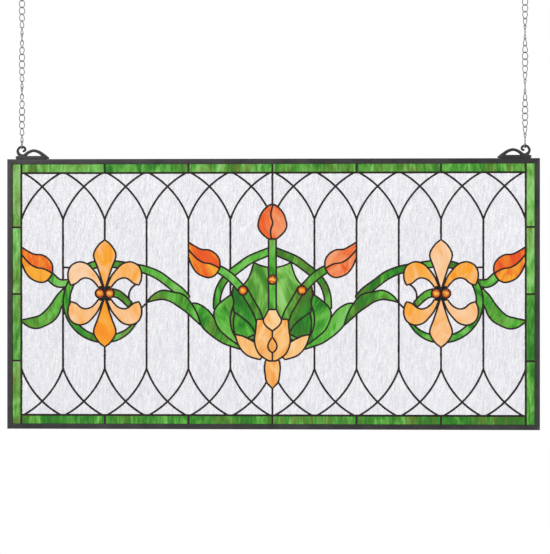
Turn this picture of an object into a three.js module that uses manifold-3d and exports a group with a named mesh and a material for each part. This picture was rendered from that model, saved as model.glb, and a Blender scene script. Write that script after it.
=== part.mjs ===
// A stained glass panel that hangs from two chains: a framed field of clear glass with a leaded
// lattice, two fleurs-de-lis, five tulip buds and a flower with leaves and jewels in the middle.
//
// Millimetres, +Z up, the front faces -Y, +X to the right. The origin is the hanging point, halfway
// between the places where the two top rings bear. The pattern is drawn in the panel's own plane,
// as [x, z] from the panel's centre, or [x, z, halfWidth] for a station along a leaf or a stem.
// Only its right half is drawn: the left half is the same, mirrored.

import * as THREE from 'three';
import { mergeVertices } from 'three/addons/utils/BufferGeometryUtils.js';
import Module from 'manifold-3d';

const wasm = await Module();
wasm.setup();

// ---------------------------------------------------------------- driving dimensions

const PANEL_WIDTH = 876;
const PANEL_HEIGHT = 445;
const FRAME_FACE = 8;
const FRAME_DEPTH = 7;
const FRAME_WEB = 2.5;
const MITRE_GAP = 0.15;
const BORDER = 23;
const SIDE_JOINTS = [110, 0, -110];
const TOP_JOINT_BAYS = [-4, -2, 0, 2, 4];
const BAYS = 12;
const LATTICE_NODE = 123;
const LATTICE_SHORT = 4;
const LATTICE_BOW = 9.4;

const GLASS_THICKNESS = 3;
const GLASS_IN_CHANNEL = 4;
const LEAD_DEPTH = 5;
const LEAD_HALF = 1.7;
const JEWEL_LEAD_HALF = 1;
const JEWEL_RING = 8;
const JEWEL_FACETS = 10;
const JEWEL_FRONT = 5;
const JEWEL_BACK = 2.2;
const FIT_GAP = 0.3;

const CHAIN_X = 414;
const LINK_WIRE = 1.8;
const LINK_LENGTH = 14;
const LINK_WIDTH = 7.4;
const LINK_PITCH = 12.2;
const LINKS = 21;
const LINKS_PER_HALF_TURN = 8;
const LINK_TILT = 0.4;
const HOOK_WIRE = 2.8;
const HOOK_TOP = 242.5;
const ARCH_WIRE = 4;
const BAR_WIDTH = 6;
const BAR_HEIGHT = 5.5;
const BAR_FROM = 374;
const BAR_TO = 422.5;
const RING_WIRE = 2;
const RING_RADIUS = 7;

// How finely the curves are drawn: the furthest a chord may run from its curve, the furthest a
// point may lie from a straight line through its neighbours, the shortest lead and the shortest
// seam that are made, the sharpest mitre (as a cosine), and how many steps each kind of curve has.
const CHORD = 1.8;
const STRAIGHT = 0.02;
const SHORTEST_LEAD = 3;
const SHORTEST_SEAM = 2;
const SHARPEST_MITRE = 0.6;
const SPAN_STEPS = 6;
const ARC_STEPS = 12;
const BOW_STEPS = 3;
const ROD_SIDES = 5;
const HOOK_STEPS = 12;
const ARCH_STEPS = 8;
const LINK_SIDES = 4;
const LINK_SECTIONS = 4;
const RING_SECTIONS = 12;

// ---------------------------------------------------------------- places worked out from them

const FRAME_X = PANEL_WIDTH / 2;
const FRAME_Z = PANEL_HEIGHT / 2;
const FIELD_X = FRAME_X - BORDER;
const FIELD_Z = FRAME_Z - BORDER;
const BAY = 2 * FIELD_X / BAYS;
const GLASS_Y = GLASS_THICKNESS / 2;
const LEAD_Y = LEAD_DEPTH / 2;
const FLEUR = [4 * BAY, 1];
const CHAIN_BOTTOM = HOOK_TOP - HOOK_WIRE / 2 - FIT_GAP - LINK_WIRE;
const CHAIN_TOP = CHAIN_BOTTOM + LINK_LENGTH + (LINKS - 1) * LINK_PITCH;
const RING_CENTRE = CHAIN_TOP - LINK_WIRE - FIT_GAP - RING_WIRE / 2 + RING_RADIUS;
const PANEL_DROP = RING_CENTRE + RING_RADIUS - RING_WIRE / 2;

// ---------------------------------------------------------------- curves

const curveThrough = (rows) => new THREE.CatmullRomCurve3(
  rows.map(([x, z, halfWidth = 0]) => new THREE.Vector3(x, z, halfWidth)), false, 'catmullrom', 0.5);

const mirrored = (points) => points.map(([x, z]) => [-x, z]);

// Fewer points, none of the dropped ones further than `tolerance` from the line that is left.
function simplified(points, tolerance) {
  const last = points.length - 1;
  const [fromX, fromZ] = points[0];
  const way = new THREE.Vector2(points[last][0] - fromX, points[last][1] - fromZ);
  const comesBack = way.length() < tolerance;
  way.normalize();
  const off = points.map(([x, z]) => (
    comesBack ? Math.hypot(x - fromX, z - fromZ) : Math.abs(way.x * (z - fromZ) - way.y * (x - fromX))));
  const at = off.indexOf(Math.max(...off));
  if (off[at] <= tolerance) {
    return [points[0], points[last]];
  }
  return [
    ...simplified(points.slice(0, at + 1), tolerance).slice(0, -1),
    ...simplified(points.slice(at), tolerance),
  ];
}

function simplifiedLoop(points, tolerance) {
  const half = Math.floor(points.length / 2);
  return [
    ...simplified(points.slice(0, half + 1), tolerance).slice(0, -1),
    ...simplified([...points.slice(half), points[0]], tolerance).slice(0, -1),
  ];
}

function smoothLine(rows) {
  const points = curveThrough(rows).getPoints(SPAN_STEPS * (rows.length - 1)).map(({ x, y }) => [x, y]);
  return simplified(points, CHORD);
}

// A leaf, petal or stem: the stations of its spine, each with the half width there.
function blade(stations) {
  const spine = curveThrough(stations).getPoints(SPAN_STEPS * (stations.length - 1));
  const near = [];
  const far = [];
  spine.forEach((point, i) => {
    const before = spine[Math.max(i - 1, 0)];
    const after = spine[Math.min(i + 1, spine.length - 1)];
    const across = new THREE.Vector2(before.y - after.y, after.x - before.x).normalize();
    const halfWidth = Math.max(point.z, 0);
    near.push([point.x + across.x * halfWidth, point.y + across.y * halfWidth]);
    far.unshift([point.x - across.x * halfWidth, point.y - across.y * halfWidth]);
  });
  return simplifiedLoop([...near, ...far], CHORD);
}

// The shape between two edges that start and end together.
const between = (edgeA, edgeB) => [...smoothLine(edgeA), ...smoothLine(edgeB).reverse()];

function arcStations([x, z], radius, fromDegrees, toDegrees, halfWidth) {
  return Array.from({ length: ARC_STEPS + 1 }, (_, i) => {
    const angle = THREE.MathUtils.degToRad(fromDegrees + (toDegrees - fromDegrees) * i / ARC_STEPS);
    return [x + radius * Math.cos(angle), z + radius * Math.sin(angle), halfWidth];
  });
}

// The outline of a jewel's place, its corners those of the jewel turned from a profile.
function jewelPlace([x, z]) {
  return Array.from({ length: JEWEL_FACETS }, (_, i) => {
    const angle = 2 * Math.PI * i / JEWEL_FACETS;
    return [x + JEWEL_RING * Math.sin(angle), z + JEWEL_RING * Math.cos(angle)];
  });
}

// An arc from a to b that bows out to the left of its way by `sagitta`.
function bow(a, b, sagitta) {
  const middle = [(a[0] + b[0]) / 2, (a[1] + b[1]) / 2];
  const half = Math.hypot(b[0] - a[0], b[1] - a[1]) / 2;
  const along = [(b[0] - a[0]) / (2 * half), (b[1] - a[1]) / (2 * half)];
  const radius = (half * half + sagitta * sagitta) / (2 * sagitta);
  const spread = Math.asin(half / radius);
  return Array.from({ length: BOW_STEPS + 1 }, (_, i) => {
    const angle = spread * (2 * i / BOW_STEPS - 1);
    const forward = radius * Math.sin(angle);
    const out = radius * Math.cos(angle) - radius + sagitta;
    return [
      middle[0] + along[0] * forward - along[1] * out,
      middle[1] + along[1] * forward + along[0] * out,
    ];
  });
}

// ---------------------------------------------------------------- the pattern's shapes

// A tulip bud lies on its side, its mouth on an upright lead line and its foot towards the middle.
const BUD_TOP = [[0, 13], [-9.5, 7], [-21.5, 1], [-34, 0], [-45, -6.5], [-51.5, -17], [-52, -29.5]];
const BUD_BOTTOM = [[0, -12], [-6.5, -27.5], [-14.5, -38], [-24.5, -43.5], [-34.5, -45.5],
  [-42.5, -42.5], [-47.5, -37.5]];
const BUD_FOLD = [[0, 1], [-7.5, -8], [-16, -16], [-25.5, -21], [-35.5, -22.5], [-44, -26], [-52, -31]];
const SIDE_BUD = [FIELD_X, 64.5];
const INNER_BUD = [2 * BAY, 72.5];

// A fleur-de-lis, from its centre: an upright petal, and a side petal that curls over.
const UPRIGHT_PETAL = [[0, 88.5, 0], [0, 79.5, 10.5], [0, 63.5, 18.5], [0, 43, 12], [0, 28, 7],
  [0, 16.5, 3.5], [0, 8.5, 1]];
const SIDE_PETAL_OUTER = [[4, 12.5], [10.5, 27.5], [19, 39], [29, 48.5], [42.5, 52], [55, 46.5],
  [60.5, 36], [60.5, 23.5], [56.5, 13.5]];
const SIDE_PETAL_INNER = [[10, 9], [15, 16], [22, 22.5], [31, 25.5], [39, 23.5], [47.5, 16.5],
  [56.5, 13.5]];

const moved = (rows, [x, z]) => rows.map(([a, b]) => [a + x, b + z]);
const fleurPlace = (rows, across, up) => (
  rows.map(([x, z, w]) => [FLEUR[0] + x * across, FLEUR[1] + z * up, w]));

const FAN_TOP = [[30.5, 52], [19.5, 47], [0, 42]];
const FAN_SIDE = [[30.5, 52], [35, 36.5], [40.5, 24], [49.5, 13]];

// Front to back: where two shapes lie over each other, the first one in the list is seen. Each row
// holds the name of the glass that the shape is part of, its outline, and its lead's half width.
const MIDDLE_SHAPES = [
  ['jewel', jewelPlace([0, 23.5]), JEWEL_LEAD_HALF],
  ['centre_flower', blade([[0, -25.5, 6.5], [0, -34, 10.5], [0, -43, 15], [0, -52, 11], [0, -61, 0]])],
  ['centre_flower', blade([[0, -70.5, 0], [0, -79, 5.5], [0, -85.5, 7.5], [0, -92, 5.5], [0, -97, 0]])],
  ['centre_flower', blade([[0, -41.5, 26], [0, -59.5, 27.5], [0, -77.5, 29.5], [0, -92.5, 25.5],
    [0, -102, 18.5], [0, -110, 6]])],
  ['centre_flower', blade([[0, -109, 11.5], [0, -122, 13], [0, -135, 11.5], [0, -145, 9.5],
    [0, -155.5, 0]])],
  ['bud_centre', blade([[0, 148, 0], [0, 144, 8.5], [0, 133.5, 17.5], [0, 122, 22], [0, 110.5, 23.5],
    [0, 100.5, 18], [0, 90.5, 7]])],
  ['foliage', blade([[0, 95, 6.3], [0, -30, 6.3]])],
];

const HALF_SHAPES = [
  ['jewel', jewelPlace([48.5, 6]), JEWEL_LEAD_HALF],
  ['jewel', jewelPlace([FLEUR[0] + JEWEL_RING, FLEUR[1]]), JEWEL_LEAD_HALF],
  ['jewel', jewelPlace([FLEUR[0] - JEWEL_RING, FLEUR[1]]), JEWEL_LEAD_HALF],
  ['centre_flower', blade([[61.5, -66.5, 0], [53, -74.5, 7], [42, -85, 11.5], [30.5, -94, 11.5],
    [18, -105, 4]])],
  ['fleur_upper', blade(fleurPlace(UPRIGHT_PETAL, 1, 1))],
  ['fleur_lower', blade(fleurPlace(UPRIGHT_PETAL, 1, -1))],
  ...[1, -1].flatMap((up) => [1, -1].map((across) => [
    up > 0 ? 'fleur_upper' : 'fleur_lower',
    between(fleurPlace(SIDE_PETAL_OUTER, across, up), fleurPlace(SIDE_PETAL_INNER, across, up)),
  ])),
  ['bud_side', between(moved(BUD_TOP, SIDE_BUD), moved(BUD_BOTTOM, SIDE_BUD))],
  ['bud_inner', between(moved(BUD_TOP, INNER_BUD), moved(BUD_BOTTOM, INNER_BUD))],
  ['foliage', blade([[91.5, 42.5, 6], [80, 36, 6.5], [67.5, 26.5, 6.5], [57.5, 16, 6.5],
    [48.5, 6, 6.5]])],
  ['foliage', blade([[49, 10, 6.5], [40, -5.5, 6], [32, -19, 6], [25.5, -30.5, 6], [21, -43, 6]])],
  ['foliage', blade([[207, -14, 0], [196, -6.5, 4.5], [181, -1.5, 7.5], [166.5, -4.5, 8],
    [151.5, -10.5, 10.5], [138, -23, 8], [127.5, -36.5, 5], [117.5, -52, 0]])],
  ['foliage', between(
    [[67, -0.5], [77.5, -7.5], [91.5, -20], [96.5, -34.5], [89, -56], [74, -71], [52.5, -86.5]],
    [[67, -0.5], [63.5, -14], [67.5, -29.5], [69.5, -43], [66.5, -59.5], [60, -72.5],
      [52.5, -86.5]])],
  ['foliage', blade([[135, -15.5, 0], [126.5, -21.5, 7], [114.5, -35, 12], [101, -53, 11.5],
    [81.5, -72, 8], [66, -81, 5.5], [51, -89, 2.5]])],
  ['foliage', blade([[61.5, -30, 0], [57, -42, 8], [49.5, -57, 14.5], [42, -72.5, 16.5]])],
  ['foliage', blade([[3, 71, 6], [36, 57, 6.5], [54, 44.5, 6.5], [67.5, 34, 6.5], [78.5, 23.5, 5.5],
    [86.5, 10, 5.5], [91, -6.5, 5.5], [91.5, -24.5, 5.5]])],
  ['foliage', blade([[277, 51, 5.5], [252, 48, 5.5], [227.5, 43.5, 6], [208.5, 39.5, 6],
    [188.5, 31, 6.5], [170.5, 18, 6.5], [152.5, 1.5, 7.5]])],
  ['tendril', blade([[267, 2.5, 6.5], [255.5, 0, 6], [246, -6.5, 5.5], [234.5, -18, 5]])],
  ['ring', blade(arcStations([277.5, -12], 62.5, -146, 88, 5.5))],
  ['ring', blade([[367.5, 29.5, 7], [360, 22, 7], [351.5, 17.5, 6.5], [337, 18, 5.5]])],
  ['ring', between(
    [[FIELD_X, -43], [398.5, -39.5], [383, -34.5], [367.5, -19], [356, -2.5], [341, 13]],
    [[FIELD_X, -45.5], [402, -54.5], [389, -57], [375.5, -52.5], [361.5, -44.5], [352.5, -33],
      [349, -23], [341, -10]])],
  ['foliage', [...smoothLine(FAN_TOP), [0, -40], [21, -43], [32, -19], ...smoothLine(FAN_SIDE).reverse()]],
  ['foliage', blade([[60, 13, 5], [56, -3.5, 10.5], [48.5, -26.5, 15], [41, -51, 15], [34.5, -76, 8]])],
];

// Lead lines that lie inside one glass: the folds of the buds, the flower's middle line, the short
// ties beside the fleurs and the lattice behind everything.
const MIDDLE_LINES = [
  ['bud_centre', smoothLine([[1, 148.5], [-2.5, 130], [0.5, 117], [-3, 104], [-1.5, 90.5]])],
  ['centre_flower', [[0, -61], [0, -70.5]]],
  ['centre_flower', [[0, -97], [0, -110]]],
  ['clear', [[0, FIELD_Z], [0, 148]]],
  ['clear', [[0, -155.5], [0, -FIELD_Z]]],
];

const HALF_LINES = [
  ['bud_side', smoothLine(moved(BUD_FOLD, SIDE_BUD))],
  ['bud_inner', smoothLine(moved(BUD_FOLD, INNER_BUD))],
  ['clear', bow([FLEUR[0] - 52, 16], [FLEUR[0] - 45, -18], 8.5)],
  ['clear', [[3 * BAY, -15], [215, -22]]],
  ['clear', [[5 * BAY, 44], [333, 43.5]]],
  ...latticeLines(),
];

// The lattice stands on every bay line. From a node near each end of the line, two arcs lean out
// and reach the field's edge just short of the neighbouring bay lines.
function latticeLines() {
  const reach = BAY - LATTICE_SHORT;
  const lines = [];
  for (let bay = 1; bay < BAYS / 2; bay += 1) {
    lines.push(['clear', [[bay * BAY, LATTICE_NODE], [bay * BAY, -LATTICE_NODE]]]);
  }
  for (let bay = 0; bay <= BAYS / 2; bay += 1) {
    for (const up of [1, -1]) {
      const node = [bay * BAY, up * LATTICE_NODE];
      const outer = [node[0] + reach, up * FIELD_Z];
      const inner = [node[0] - reach, up * FIELD_Z];
      if (bay < BAYS / 2) {
        lines.push(['clear', bow(node, outer, up * LATTICE_BOW)]);
      }
      if (bay > 0) {
        lines.push(['clear', bow(node, inner, -up * LATTICE_BOW)]);
      }
    }
  }
  return lines;
}

// ---------------------------------------------------------------- what shows, and where leads run

const SHARED_GLASS = new Set(['centre_flower', 'foliage', 'clear', 'bud_centre']);

const sideName = (name, side) => (SHARED_GLASS.has(name) ? name : `${name}_${side}`);

// Each drawn row as an item for each side of the panel that it lies on.
function placed(middleRows, halfRows) {
  const item = (name, points, leadHalf = LEAD_HALF) => ({ name, points, leadHalf });
  return [
    ...middleRows.map(([name, points, leadHalf]) => item(name, points, leadHalf)),
    ...halfRows.flatMap(([name, points, leadHalf]) => [
      item(sideName(name, 'right'), points, leadHalf),
      item(sideName(name, 'left'), mirrored(points), leadHalf),
    ]),
  ];
}

const SHAPES = placed(MIDDLE_SHAPES, HALF_SHAPES);

for (const shape of SHAPES) {
  shape.box = new THREE.Box2().setFromPoints(shape.points.map(([x, z]) => new THREE.Vector2(x, z)));
}

function contains(shape, x, z) {
  if (!shape.box.containsPoint(new THREE.Vector2(x, z))) {
    return false;
  }
  let inside = false;
  shape.points.forEach(([ax, az], i) => {
    const [bx, bz] = shape.points[(i + 1) % shape.points.length];
    if ((az > z) !== (bz > z) && x < ax + (bx - ax) * (z - az) / (bz - az)) {
      inside = !inside;
    }
  });
  return inside;
}

// The glass at a place, leaving out the first few shapes, which lie in front.
function glassAt(x, z, leftOut = 0) {
  if (Math.abs(x) > FIELD_X || Math.abs(z) > FIELD_Z) {
    return 'border';
  }
  const shape = SHAPES.find((candidate, i) => i >= leftOut && contains(candidate, x, z));
  return shape ? shape.name : 'clear';
}

// The same line in steps of at most a millimetre.
function finely(points) {
  const fine = [points[0]];
  points.slice(1).forEach(([x, z], i) => {
    const [fromX, fromZ] = points[i];
    const steps = Math.max(1, Math.ceil(Math.hypot(x - fromX, z - fromZ)));
    for (let step = 1; step <= steps; step += 1) {
      fine.push([fromX + (x - fromX) * step / steps, fromZ + (z - fromZ) * step / steps]);
    }
  });
  return fine;
}

// The stretches of a line along which every small step passes the test. Where all of a closed line
// passes, it is one closed stretch.
function stretches({ points, closed }, passes) {
  const fine = finely(closed ? [...points, points[0]] : points);
  const steps = fine.slice(1).map((point, i) => ({ from: fine[i], to: point }));
  const shown = steps.map(({ from, to }) => passes((from[0] + to[0]) / 2, (from[1] + to[1]) / 2));
  if (closed && !shown.includes(false)) {
    return [{ points: fine.slice(0, -1), closed: true }];
  }
  const start = closed ? shown.indexOf(false) : 0;
  const found = [];
  let open = null;
  steps.forEach((_, i) => {
    const at = (start + i) % steps.length;
    if (!shown[at]) {
      open = null;
    } else if (open) {
      open.points.push(steps[at].to);
    } else {
      open = { points: [steps[at].from, steps[at].to], closed: false };
      found.push(open);
    }
  });
  return found;
}

// The two edges of a strip along a line, with mitred corners.
function stripEdges(line, halfWidth, closed) {
  const count = line.length;
  const at = (i) => new THREE.Vector2(...line[closed ? (i + count) % count : i]);
  const left = [];
  const right = [];
  for (let i = 0; i < count; i += 1) {
    const here = at(i);
    const before = closed || i > 0 ? here.clone().sub(at(i - 1)).normalize() : null;
    const after = closed || i < count - 1 ? at(i + 1).sub(here).normalize() : null;
    const way = before && after ? before.clone().add(after).normalize() : before ?? after;
    const reach = halfWidth / Math.max(way.dot(after ?? before), SHARPEST_MITRE);
    left.push([here.x - way.y * reach, here.y + way.x * reach]);
    right.push([here.x + way.y * reach, here.y - way.x * reach]);
  }
  return [left, right];
}

// A line carried on past both of its ends.
function lengthened(line, past) {
  const carry = ([ax, az], [bx, bz]) => {
    const share = past / Math.hypot(bx - ax, bz - az);
    return [bx + (bx - ax) * share, bz + (bz - az) * share];
  };
  const last = line.length - 1;
  return [carry(line[1], line[0]), ...line.slice(1, -1), carry(line[last - 1], line[last])];
}

// ---------------------------------------------------------------- solids

// A flat outline, with x across and z up, as a closed solid from y = front to y = back.
function slab(outline, front, back, hole = null) {
  const toVectors = (points) => points.map((point) => new THREE.Vector2(...point));
  const shape = new THREE.Shape(toVectors(outline));
  if (hole) {
    shape.holes.push(new THREE.Path(toVectors(hole)));
  }
  const geometry = new THREE.ExtrudeGeometry(shape, { depth: back - front, bevelEnabled: false });
  const place = geometry.attributes.position;
  for (let i = 0; i < place.count; i += 1) {
    place.setXYZ(i, place.getX(i), back - place.getZ(i), place.getY(i));
  }
  return geometry;
}

const rectangle = (left, bottom, right, top) => (
  [[left, bottom], [right, bottom], [right, top], [left, top]]);

function toSolid(geometry) {
  const bare = geometry.clone();
  bare.deleteAttribute('normal');
  bare.deleteAttribute('uv');
  const merged = mergeVertices(bare, 1e-4);
  return new wasm.Manifold(new wasm.Mesh({
    numProp: 3,
    vertProperties: new Float32Array(merged.attributes.position.array),
    triVerts: new Uint32Array(merged.index.array),
  }));
}

function toGeometry(solid) {
  const mesh = solid.getMesh();
  const geometry = new THREE.BufferGeometry();
  geometry.setAttribute('position', new THREE.BufferAttribute(mesh.vertProperties, 3));
  geometry.setIndex(new THREE.BufferAttribute(mesh.triVerts, 1));
  geometry.computeVertexNormals();
  return geometry;
}

// Solids joined into one, with no seam left in a flat face.
const joined = (geometries) => (
  wasm.Manifold.union(geometries.map(toSolid)).asOriginal().simplify(STRAIGHT));

// A wire along a curve; `sides` facets round it.
function wire(curve, radius, sides, steps) {
  const section = new THREE.Shape(Array.from({ length: sides }, (_, i) => {
    const angle = 2 * Math.PI * (i + 0.5) / sides;
    return new THREE.Vector2(radius * Math.cos(angle), radius * Math.sin(angle));
  }));
  return new THREE.ExtrudeGeometry(section, { steps, extrudePath: curve, bevelEnabled: false });
}

// A closed wire loop in the plane of x and z. Its wire's centre runs through the middles of the
// flats between its corners, which lie halfWidth and halfLength from its own centre.
function loop(halfWidth, halfLength, radius, sides, sections) {
  const positions = [];
  const index = [];
  const corner = 1 / Math.cos(Math.PI / sections);
  for (let i = 0; i < sections; i += 1) {
    const turn = 2 * Math.PI * (i + 0.5) / sections;
    const outX = corner * Math.cos(turn);
    const outZ = corner * Math.sin(turn);
    for (let k = 0; k < sides; k += 1) {
      const angle = 2 * Math.PI * (k + 0.5) / sides;
      const out = radius * Math.cos(angle);
      positions.push(outX * (halfWidth + out), radius * Math.sin(angle), outZ * (halfLength + out));
      const next = (i + 1) % sections;
      const side = (k + 1) % sides;
      const corners = [i * sides + k, i * sides + side, next * sides + side, next * sides + k];
      index.push(corners[0], corners[1], corners[2], corners[0], corners[2], corners[3]);
    }
  }
  const geometry = new THREE.BufferGeometry();
  geometry.setAttribute('position', new THREE.Float32BufferAttribute(positions, 3));
  geometry.setIndex(index);
  return geometry;
}

// ---------------------------------------------------------------- materials

const finish = (color, roughness, metalness, opacity = 1) => new THREE.MeshStandardMaterial({
  color, roughness, metalness, opacity, transparent: opacity < 1,
});

const METAL = finish('#3f4440', 0.45, 0.8);
const LEAD = finish('#2e2622', 0.5, 0.7);
const CHAIN = finish('#8d8f8e', 0.35, 0.9);
const CLEAR = finish('#eeeef4', 0.08, 0, 0.35);
const BORDER_GREEN = finish('#7cb65a', 0.15, 0);
const LEAF_GREEN = finish('#4d9a35', 0.15, 0);
const PALE_ORANGE = finish('#fbb96e', 0.15, 0);
const PINK_ORANGE = finish('#f8b873', 0.15, 0);
const BUD_ORANGE = finish('#f0742c', 0.15, 0);
const AMBER = finish('#d98a1c', 0.08, 0);

// ---------------------------------------------------------------- the object

const windowPanel = new THREE.Group();
const panel = new THREE.Group();
panel.position.z = -PANEL_DROP;
windowPanel.add(panel);

function add(parent, name, geometry, material, place = [0, 0, 0]) {
  const mesh = new THREE.Mesh(geometry, material);
  mesh.name = name;
  mesh.position.set(...place);
  parent.add(mesh);
}

// ---- frame: a U channel with mitred corners, open towards the glass

// One bar lying along x, its outer face down: the channel's section is drawn from its outer face in.
function mitredBar(length) {
  const half = FRAME_DEPTH / 2;
  const section = new THREE.Shape([
    [0, -half], [FRAME_FACE, -half], [FRAME_FACE, -GLASS_Y], [FRAME_WEB, -GLASS_Y],
    [FRAME_WEB, GLASS_Y], [FRAME_FACE, GLASS_Y], [FRAME_FACE, half], [0, half],
  ].map((point) => new THREE.Vector2(...point)));
  const geometry = new THREE.ExtrudeGeometry(section, { depth: 1, bevelEnabled: false });
  const place = geometry.attributes.position;
  for (let i = 0; i < place.count; i += 1) {
    const inward = place.getX(i);
    const reach = length / 2 - inward - MITRE_GAP;
    const end = place.getZ(i) > 0.5 ? -reach : reach;
    place.setXYZ(i, end, place.getY(i), inward);
  }
  return geometry;
}

const TURNS = { top: Math.PI, bottom: 0, left: Math.PI / 2, right: -Math.PI / 2 };
for (const [side, turnBy] of Object.entries(TURNS)) {
  const level = side === 'top' || side === 'bottom';
  const bar = mitredBar(level ? PANEL_WIDTH : PANEL_HEIGHT);
  bar.translate(0, 0, -(level ? FRAME_Z : FRAME_X));
  bar.rotateY(turnBy);
  add(panel, `frame_${side}`, bar, METAL);
}

// ---- leads: a net of solder beads on the glass, one along every line that shows in front

// A lead's bead, or with a wider reach and another depth the cut that parts two glasses under it.
function strip({ points, closed }, halfWidth, past, front, back) {
  if (closed) {
    const around = simplifiedLoop(points, STRAIGHT);
    const goesLeft = THREE.ShapeUtils.area(around.map((point) => new THREE.Vector2(...point))) > 0;
    const [inner, outer] = stripEdges(goesLeft ? around : around.reverse(), halfWidth, true);
    return slab(outer, front, back, inner);
  }
  const line = lengthened(simplified(points, STRAIGHT), past);
  const [left, right] = stripEdges(line, halfWidth, false);
  return slab([...left, ...right.reverse()], front, back);
}

const OUTLINES = SHAPES.map((shape, i) => ({
  ...shape,
  closed: true,
  shows: (x, z) => Math.abs(x) < FIELD_X && !SHAPES.slice(0, i).some((other) => contains(other, x, z)),
  partsTwoGlasses: (x, z) => glassAt(x, z, i + 1) !== shape.name,
}));
const INNER_LINES = placed(MIDDLE_LINES, HALF_LINES).map((line) => ({
  ...line,
  closed: false,
  shows: (x, z) => glassAt(x, z) === line.name,
}));

// The field's edge, and the joints between border strips from there to the frame.
function straightLines() {
  const lip = FRAME_FACE + FIT_GAP;
  const lines = [];
  for (const side of [1, -1]) {
    lines.push([[-FIELD_X, side * FIELD_Z], [FIELD_X, side * FIELD_Z]]);
    lines.push([[side * FIELD_X, lip - FRAME_Z], [side * FIELD_X, FRAME_Z - lip]]);
    for (const bay of TOP_JOINT_BAYS) {
      lines.push([[bay * BAY, side * FIELD_Z], [bay * BAY, side * (FRAME_Z - lip)]]);
    }
    for (const z of SIDE_JOINTS) {
      lines.push([[side * FIELD_X, z], [side * (FRAME_X - lip), z]]);
    }
  }
  return lines.map((points) => ({ points, closed: false }));
}

function leadNet() {
  const beads = straightLines().map((line) => (
    strip(line, LEAD_HALF, 0, -LEAD_Y, -GLASS_Y)));
  for (const line of [...OUTLINES, ...INNER_LINES]) {
    for (const stretch of stretches(line, line.shows)) {
      if (stretch.points.length > SHORTEST_LEAD) {
        beads.push(strip(stretch, line.leadHalf, 0, -LEAD_Y, -GLASS_Y));
      }
    }
  }
  return joined(beads);
}

add(panel, 'leading', toGeometry(leadNet()), LEAD);

// ---- border glass, held by the frame's channel on one side and by the field's edge on the other

const glassX = FRAME_X - GLASS_IN_CHANNEL;
const glassZ = FRAME_Z - GLASS_IN_CHANNEL;
const levelStrip = rectangle(-FIELD_X + FIT_GAP, FIELD_Z + FIT_GAP, FIELD_X - FIT_GAP, glassZ);
const uprightStrip = rectangle(FIELD_X + FIT_GAP, -glassZ, glassX, glassZ);
add(panel, 'border_top', slab(levelStrip, -GLASS_Y, GLASS_Y), BORDER_GREEN);
add(panel, 'border_bottom', slab(levelStrip.map(([x, z]) => [x, -z]), -GLASS_Y, GLASS_Y), BORDER_GREEN);
add(panel, 'border_right', slab(uprightStrip, -GLASS_Y, GLASS_Y), BORDER_GREEN);
add(panel, 'border_left', slab(mirrored(uprightStrip), -GLASS_Y, GLASS_Y), BORDER_GREEN);

// ---- field glass: one sheet, parted by the seams. A glass is named by a place that lies in it.

const MIDDLE_GLASS = [
  ['clear_upper', [40, 100], CLEAR],
  ['clear_lower', [40, -150], CLEAR],
  ['bud_centre', [12, 120], BUD_ORANGE],
  ['centre_flower', [15, -80], PINK_ORANGE],
  ['foliage', [0, 60], LEAF_GREEN],
];

const HALF_GLASS = [
  ['clear_side', [395, -10], CLEAR],
  ['clear_hoop_window_top', [14, 54], CLEAR],
  ['clear_hoop_window_middle', [46, 30], CLEAR],
  ['clear_hoop_window_side', [77, 3], CLEAR],
  ['fleur_petal_top', [FLEUR[0], 65], PALE_ORANGE],
  ['fleur_petal_bottom', [FLEUR[0], -62], PALE_ORANGE],
  ['fleur_petal_upper_outer', [FLEUR[0] + 28, 30], PALE_ORANGE],
  ['fleur_petal_upper_inner', [FLEUR[0] - 28, 30], PALE_ORANGE],
  ['fleur_petal_lower_outer', [FLEUR[0] + 28, -28], PALE_ORANGE],
  ['fleur_petal_lower_inner', [FLEUR[0] - 28, -28], PALE_ORANGE],
  ['bud_side', [FIELD_X - 20, 55], BUD_ORANGE],
  ['bud_inner', [2 * BAY - 20, 63], BUD_ORANGE],
  ['tendril', [250, -3], LEAF_GREEN],
  ['ring_and_stem', [340, -12], LEAF_GREEN],
  ['ring_lower_inner', [238, -60], LEAF_GREEN],
];

function holdsPlace(geometry, x, z) {
  const place = geometry.attributes.position;
  const corner = (i) => new THREE.Vector3(place.getX(i), place.getZ(i), 0);
  const point = new THREE.Vector3(x, z, 0);
  for (let i = 0; i < geometry.index.count; i += 3) {
    const ids = [0, 1, 2].map((k) => geometry.index.getX(i + k));
    const onFront = ids.every((id) => place.getY(id) < -GLASS_Y + 0.01);
    if (onFront && THREE.Triangle.containsPoint(point, ...ids.map(corner))) {
      return true;
    }
  }
  return false;
}

function fieldGlass() {
  const x = FIELD_X - FIT_GAP;
  const z = FIELD_Z - FIT_GAP;
  const sheet = toSolid(slab(rectangle(-x, -z, x, z), -GLASS_Y, GLASS_Y));
  const cuts = OUTLINES.flatMap((outline) => (
    stretches(outline, (x, z) => outline.shows(x, z) && outline.partsTwoGlasses(x, z))
      .filter(({ points }) => points.length > SHORTEST_SEAM)
      .map((stretch) => strip(stretch, FIT_GAP, LEAD_HALF, -LEAD_Y, LEAD_Y))));
  return sheet.subtract(joined(cuts)).asOriginal().simplify(STRAIGHT).decompose().map(toGeometry);
}

const glasses = fieldGlass();
function addGlass(name, [x, z], material) {
  const geometry = glasses.find((candidate) => holdsPlace(candidate, x, z));
  if (!geometry) {
    throw new Error(`no glass at ${name}: ${x}, ${z}`);
  }
  add(panel, name, geometry, material);
}

MIDDLE_GLASS.forEach(([name, place, material]) => addGlass(name, place, material));
HALF_GLASS.forEach(([name, place, material]) => {
  addGlass(`${name}_right`, place, material);
  addGlass(`${name}_left`, [-place[0], place[1]], material);
});

// ---- jewels: domed in front, shallow behind

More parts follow.
